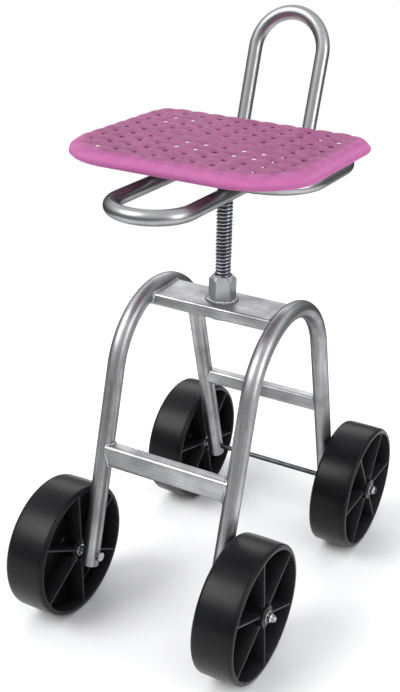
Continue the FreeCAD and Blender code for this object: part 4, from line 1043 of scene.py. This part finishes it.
class GARDENSEAT_OT_wheels(bpy.types.Operator):
    """Mould the four ribbed wheels"""
    bl_idname = "gardenseat.wheels"
    bl_label = "Mould the wheels"

    def execute(self, context):
        wheel = context.scene.garden_seat.wheel
        shells = [self.body(wheel)] + self.ribs(wheel)
        points, faces = joined([shell for shell, _ in shells])
        # The marks of painted highlight on the rim edge and on the ribs' noses.
        worn = np.concatenate([mark for _, mark in shells])
        for name, turn in zip(WHEELS, wheel.turns):
            x, y, z = AXLES[name]
            place = np.array(Matrix.Rotation(turn, 3, "X"))
            if x < 0:
                place = place @ np.array(Matrix.Rotation(math.pi, 3, "Z"))
            piece(name + "_moulding", [(points @ place.T + np.array([x, y, z]), faces)], name + "_roller",
                  "wheel_plastic", "wheel_plastic", [name + "_wheel"], 40, worn=worn)
        return {"FINISHED"}

    def body(self, wheel):
        """Rim, web and hub: one rounded outline turned round the axle, with a low crown on the tread.

        The crown lowers the tread by the square of the distance from its middle.
        """
        face, web, tread = wheel.width / 2, wheel.web / 2, wheel.diameter / 2
        lip = tread - wheel.tread_round - wheel.rim_edge
        hub, bore, draft, rub, steps, spots = wheel.hub / 2, wheel.bore / 2, 0.0008, 0.0014, 6, 144
        outer, inner = [[(side * end, bore), (side * end, hub - draft), (side * web, hub + draft),
                         (side * web, lip - wheel.rim_root), (side * face, lip), (side * face, tread)]
                        for side, end in ((1, wheel.hub_outer), (-1, wheel.hub_inner))]
        radii = [0.0005, 0.0014, 0.003, 0.004, 0.0011, wheel.tread_round]
        profile = rounded(inner[:1] + outer + inner[:0:-1], radii[:1] + radii + radii[:0:-1], steps)
        second = steps * (1 + len(outer))
        across = np.linspace(profile[second - 1], profile[second], 11)[1:-1]
        profile = np.insert(profile, second, across, axis=0)
        # Painted highlight: the mark is full on the rounded rim edge and falls off within a few millimetres.
        edge = np.exp(-(np.hypot(np.abs(profile[:, 0]) - face, profile[:, 1] - lip) / rub) ** 2)
        crowned = profile[:, 1] > lip + wheel.rim_edge / 2
        profile[:, 1] -= crowned * wheel.crown * (profile[:, 0] / face) ** 2
        return rings_shell(turned(profile, spots), True), np.repeat(edge, spots)

    def ribs(self, wheel):
        """Ribs: a flat section with a rounded free edge, carried outwards along each spoke.

        The section thickens by a falling exponential near the hub and near the rim, like a moulded fillet.
        """
        hub, rim = 0.8 * wheel.hub / 2, wheel.diameter / 2 - wheel.tread_round - wheel.rim_edge / 2
        fillet, nose_depth, sunk = 0.0025, 0.0013, 0.002
        reach = np.linspace(hub, rim, 28)
        swell = 1 + 0.7 * (np.exp((wheel.hub / 2 - reach) / fillet) + np.exp((reach - rim + sunk) / fillet))
        near, free = wheel.web / 4, wheel.width / 2 - wheel.rib_recess
        bend = np.linspace(-1.4, 1.4, 9)
        nose = np.stack([free - nose_depth * (1 - np.cos(bend)), 0.5 * np.sin(bend)], axis=1)
        section = np.vstack([[(near, 0.62), (near, -0.62)], nose])[None]
        # Painted highlight on the ribs' rounded noses: the mark is highest at the nose and nothing on the flat
        # sides.
        mark = np.tile(np.concatenate([[0, 0], np.cos(0.85 * bend)]), len(reach))
        made = []
        for side in (-1, 1):
            for turn in math.pi / 2 + np.arange(6) * math.pi / 3:
                out = np.array([0, math.cos(turn), math.sin(turn)])
                across = np.array([0, -math.sin(turn), math.cos(turn)])
                thick = (wheel.rib * swell)[:, None, None] * section[..., 1:] * across
                rings = reach[:, None, None] * out + thick + side * section[..., :1] * np.array([1, 0, 0])
                made.append((rings_shell(rings, False), mark))
        return made


class GARDENSEAT_OT_tubes(bpy.types.Operator):
    """Give the solids their finishes; the tubes, plates, collar and seat screws among them stay in sight"""
    bl_idname = "gardenseat.tubes"
    bl_label = "Finish the tubes"

    def execute(self, context):
        for row in frame["record"]["subparts"]:
            node = frame["nodes"][row["node"]]
            for slot in node.material_slots:
                slot.material = finish_of(STREAKED.get(row["node"], row["material_slot"]))
        return {"FINISHED"}


class GARDENSEAT_OT_finishes(bpy.types.Operator):
    """Mix the finishes that the pieces share"""
    bl_idname = "gardenseat.finishes"
    bl_label = "Mix the finishes"

    def execute(self, context):
        make_finishes(context.scene.garden_seat.finish)
        return {"FINISHED"}


# Stage


def light(name, kind, power, place, target, **settings):
    """A soft light that shines from a place towards a target."""
    lamp = bpy.data.lights.new(name, kind)
    lamp.energy = power
    for label, value in settings.items():
        setattr(lamp, label, value)
    made = in_scene(name, lamp)
    made.location = place
    made.rotation_euler = (Vector(target) - Vector(place)).to_track_quat("-Z", "Y").to_euler()


def soft_room(scene):
    """A room that is dim at the horizon and bright overhead, behind a plain white backdrop."""
    world = bpy.data.worlds.new("soft_room")
    world.use_nodes = True
    scene.world = world
    tree = world.node_tree
    ray = tree.nodes.new("ShaderNodeTexCoord").outputs["Generated"]
    height = add(tree, "SeparateXYZ", Vector=ray).outputs["Z"]
    room = tree.nodes["Background"]
    room.inputs["Color"].default_value = (0.97, 0.98, 1.0, 1.0)
    tree.links.new(span(tree, height, 0.0, 0.6, 0.12, 1.0), room.inputs["Strength"])
    backdrop = add(tree, "Background", Color=(1.0, 1.0, 1.0, 1.0), Strength=1.0)
    seen = tree.nodes.new("ShaderNodeMixShader")
    sight = tree.nodes.new("ShaderNodeLightPath").outputs["Is Camera Ray"]
    for socket, source in zip(seen.inputs, (sight, room.outputs[0], backdrop.outputs[0])):
        tree.links.new(source, socket)
    tree.links.new(seen.outputs[0], tree.nodes["World Output"].inputs["Surface"])


def photo_camera(view):
    """The camera: back is the direction from target to eye, right is level, and roll turns right and up."""
    back = Vector((math.sin(view.azimuth) * math.cos(view.elevation),
                   -math.cos(view.azimuth) * math.cos(view.elevation), math.sin(view.elevation)))
    right = Vector((math.cos(view.azimuth), math.sin(view.azimuth), 0))
    up = back.cross(right)
    turn = Matrix.Rotation(view.roll, 3, back)
    right, up = turn @ right, turn @ up
    lens = bpy.data.cameras.new("photo_camera")
    lens.sensor_fit = "AUTO"
    lens.sensor_width = SENSOR_MM
    lens.lens = SENSOR_MM * view.focal
    lens.shift_x, lens.shift_y = view.shift
    made = in_scene("photo_camera", lens)
    made.matrix_world = Matrix((right, up, back)).transposed().to_4x4()
    made.location = Vector(view.target) + back * view.distance
    bpy.context.scene.camera = made


class GARDENSEAT_OT_stage(bpy.types.Operator):
    """Set the pale floor, the soft light and the camera"""
    bl_idname = "gardenseat.stage"
    bl_label = "Set the stage"

    def execute(self, context):
        view = context.scene.garden_seat.view
        mesh = bpy.data.meshes.new("floor")
        half = view.floor_size / 2
        corners = [(-half, -half, 0), (half, -half, 0), (half, half, 0), (-half, half, 0)]
        mesh.from_pydata(corners, [], [(0, 1, 2, 3)])
        floor = in_scene("floor", mesh)
        material, _, shader = new_material("pale_floor")
        shader["Base Color"].default_value = opaque(view.floor)
        shader["Roughness"].default_value = 0.9
        mesh.materials.append(material)
        light("key_light", "SUN", 1.8, (-0.6, -0.75, 1.0), (0, 0, 0), angle=math.radians(34))
        aim = (0, 0, 0.45)
        light("back_light", "AREA", 23, (-1.5, 2.8, 2.1), aim, shape="RECTANGLE", size=2.5, size_y=1.5)
        light("side_light", "AREA", 30, (2.6, -0.3, 1.2), aim, shape="RECTANGLE", size=1.2, size_y=1.8)
        soft_room(context.scene)
        context.scene.view_settings.view_transform = "Standard"
        photo_camera(view)
        return {"FINISHED"}


# Panel and registration


STEPS = (GARDENSEAT_OT_finishes, GARDENSEAT_OT_tubes, GARDENSEAT_OT_wheels, GARDENSEAT_OT_fasteners,
         GARDENSEAT_OT_welds, GARDENSEAT_OT_nut, GARDENSEAT_OT_screw, GARDENSEAT_OT_seat, GARDENSEAT_OT_stage)


class GARDENSEAT_PT_panel(bpy.types.Panel):
    """The steps that build the garden seat, and its settings"""
    bl_label = "Garden seat"
    bl_idname = "GARDENSEAT_PT_panel"
    bl_space_type = "VIEW_3D"
    bl_region_type = "UI"
    bl_category = "Garden seat"

    def draw(self, context):
        for step in STEPS:
            self.layout.operator(step.bl_idname)
        for name in GardenSeat.__annotations__:
            group, box = getattr(context.scene.garden_seat, name), self.layout.box()
            box.label(text=name.capitalize())
            for setting in group.__annotations__:
                box.prop(group, setting)


GROUPS = (SeatSizes, WheelSizes, FastenerSizes, ScrewSizes, WeldSizes, Finishes, Viewpoint, GardenSeat)
CLASSES = GROUPS + STEPS + (GARDENSEAT_PT_panel,)


def register():
    """Makes the classes and the scene's settings known."""
    for kind in CLASSES:
        bpy.utils.register_class(kind)
    bpy.types.Scene.garden_seat = bpy.props.PointerProperty(type=GardenSeat)


def unregister():
    """Takes the settings and the classes away again."""
    del bpy.types.Scene.garden_seat
    for kind in reversed(CLASSES):
        bpy.utils.unregister_class(kind)


def main():
    """Builds the seat step by step."""
    register()
    for step in STEPS:
        group, name = step.bl_idname.split(".")
        getattr(getattr(bpy.ops, group), name)()


if __name__ == "__main__":
    main()
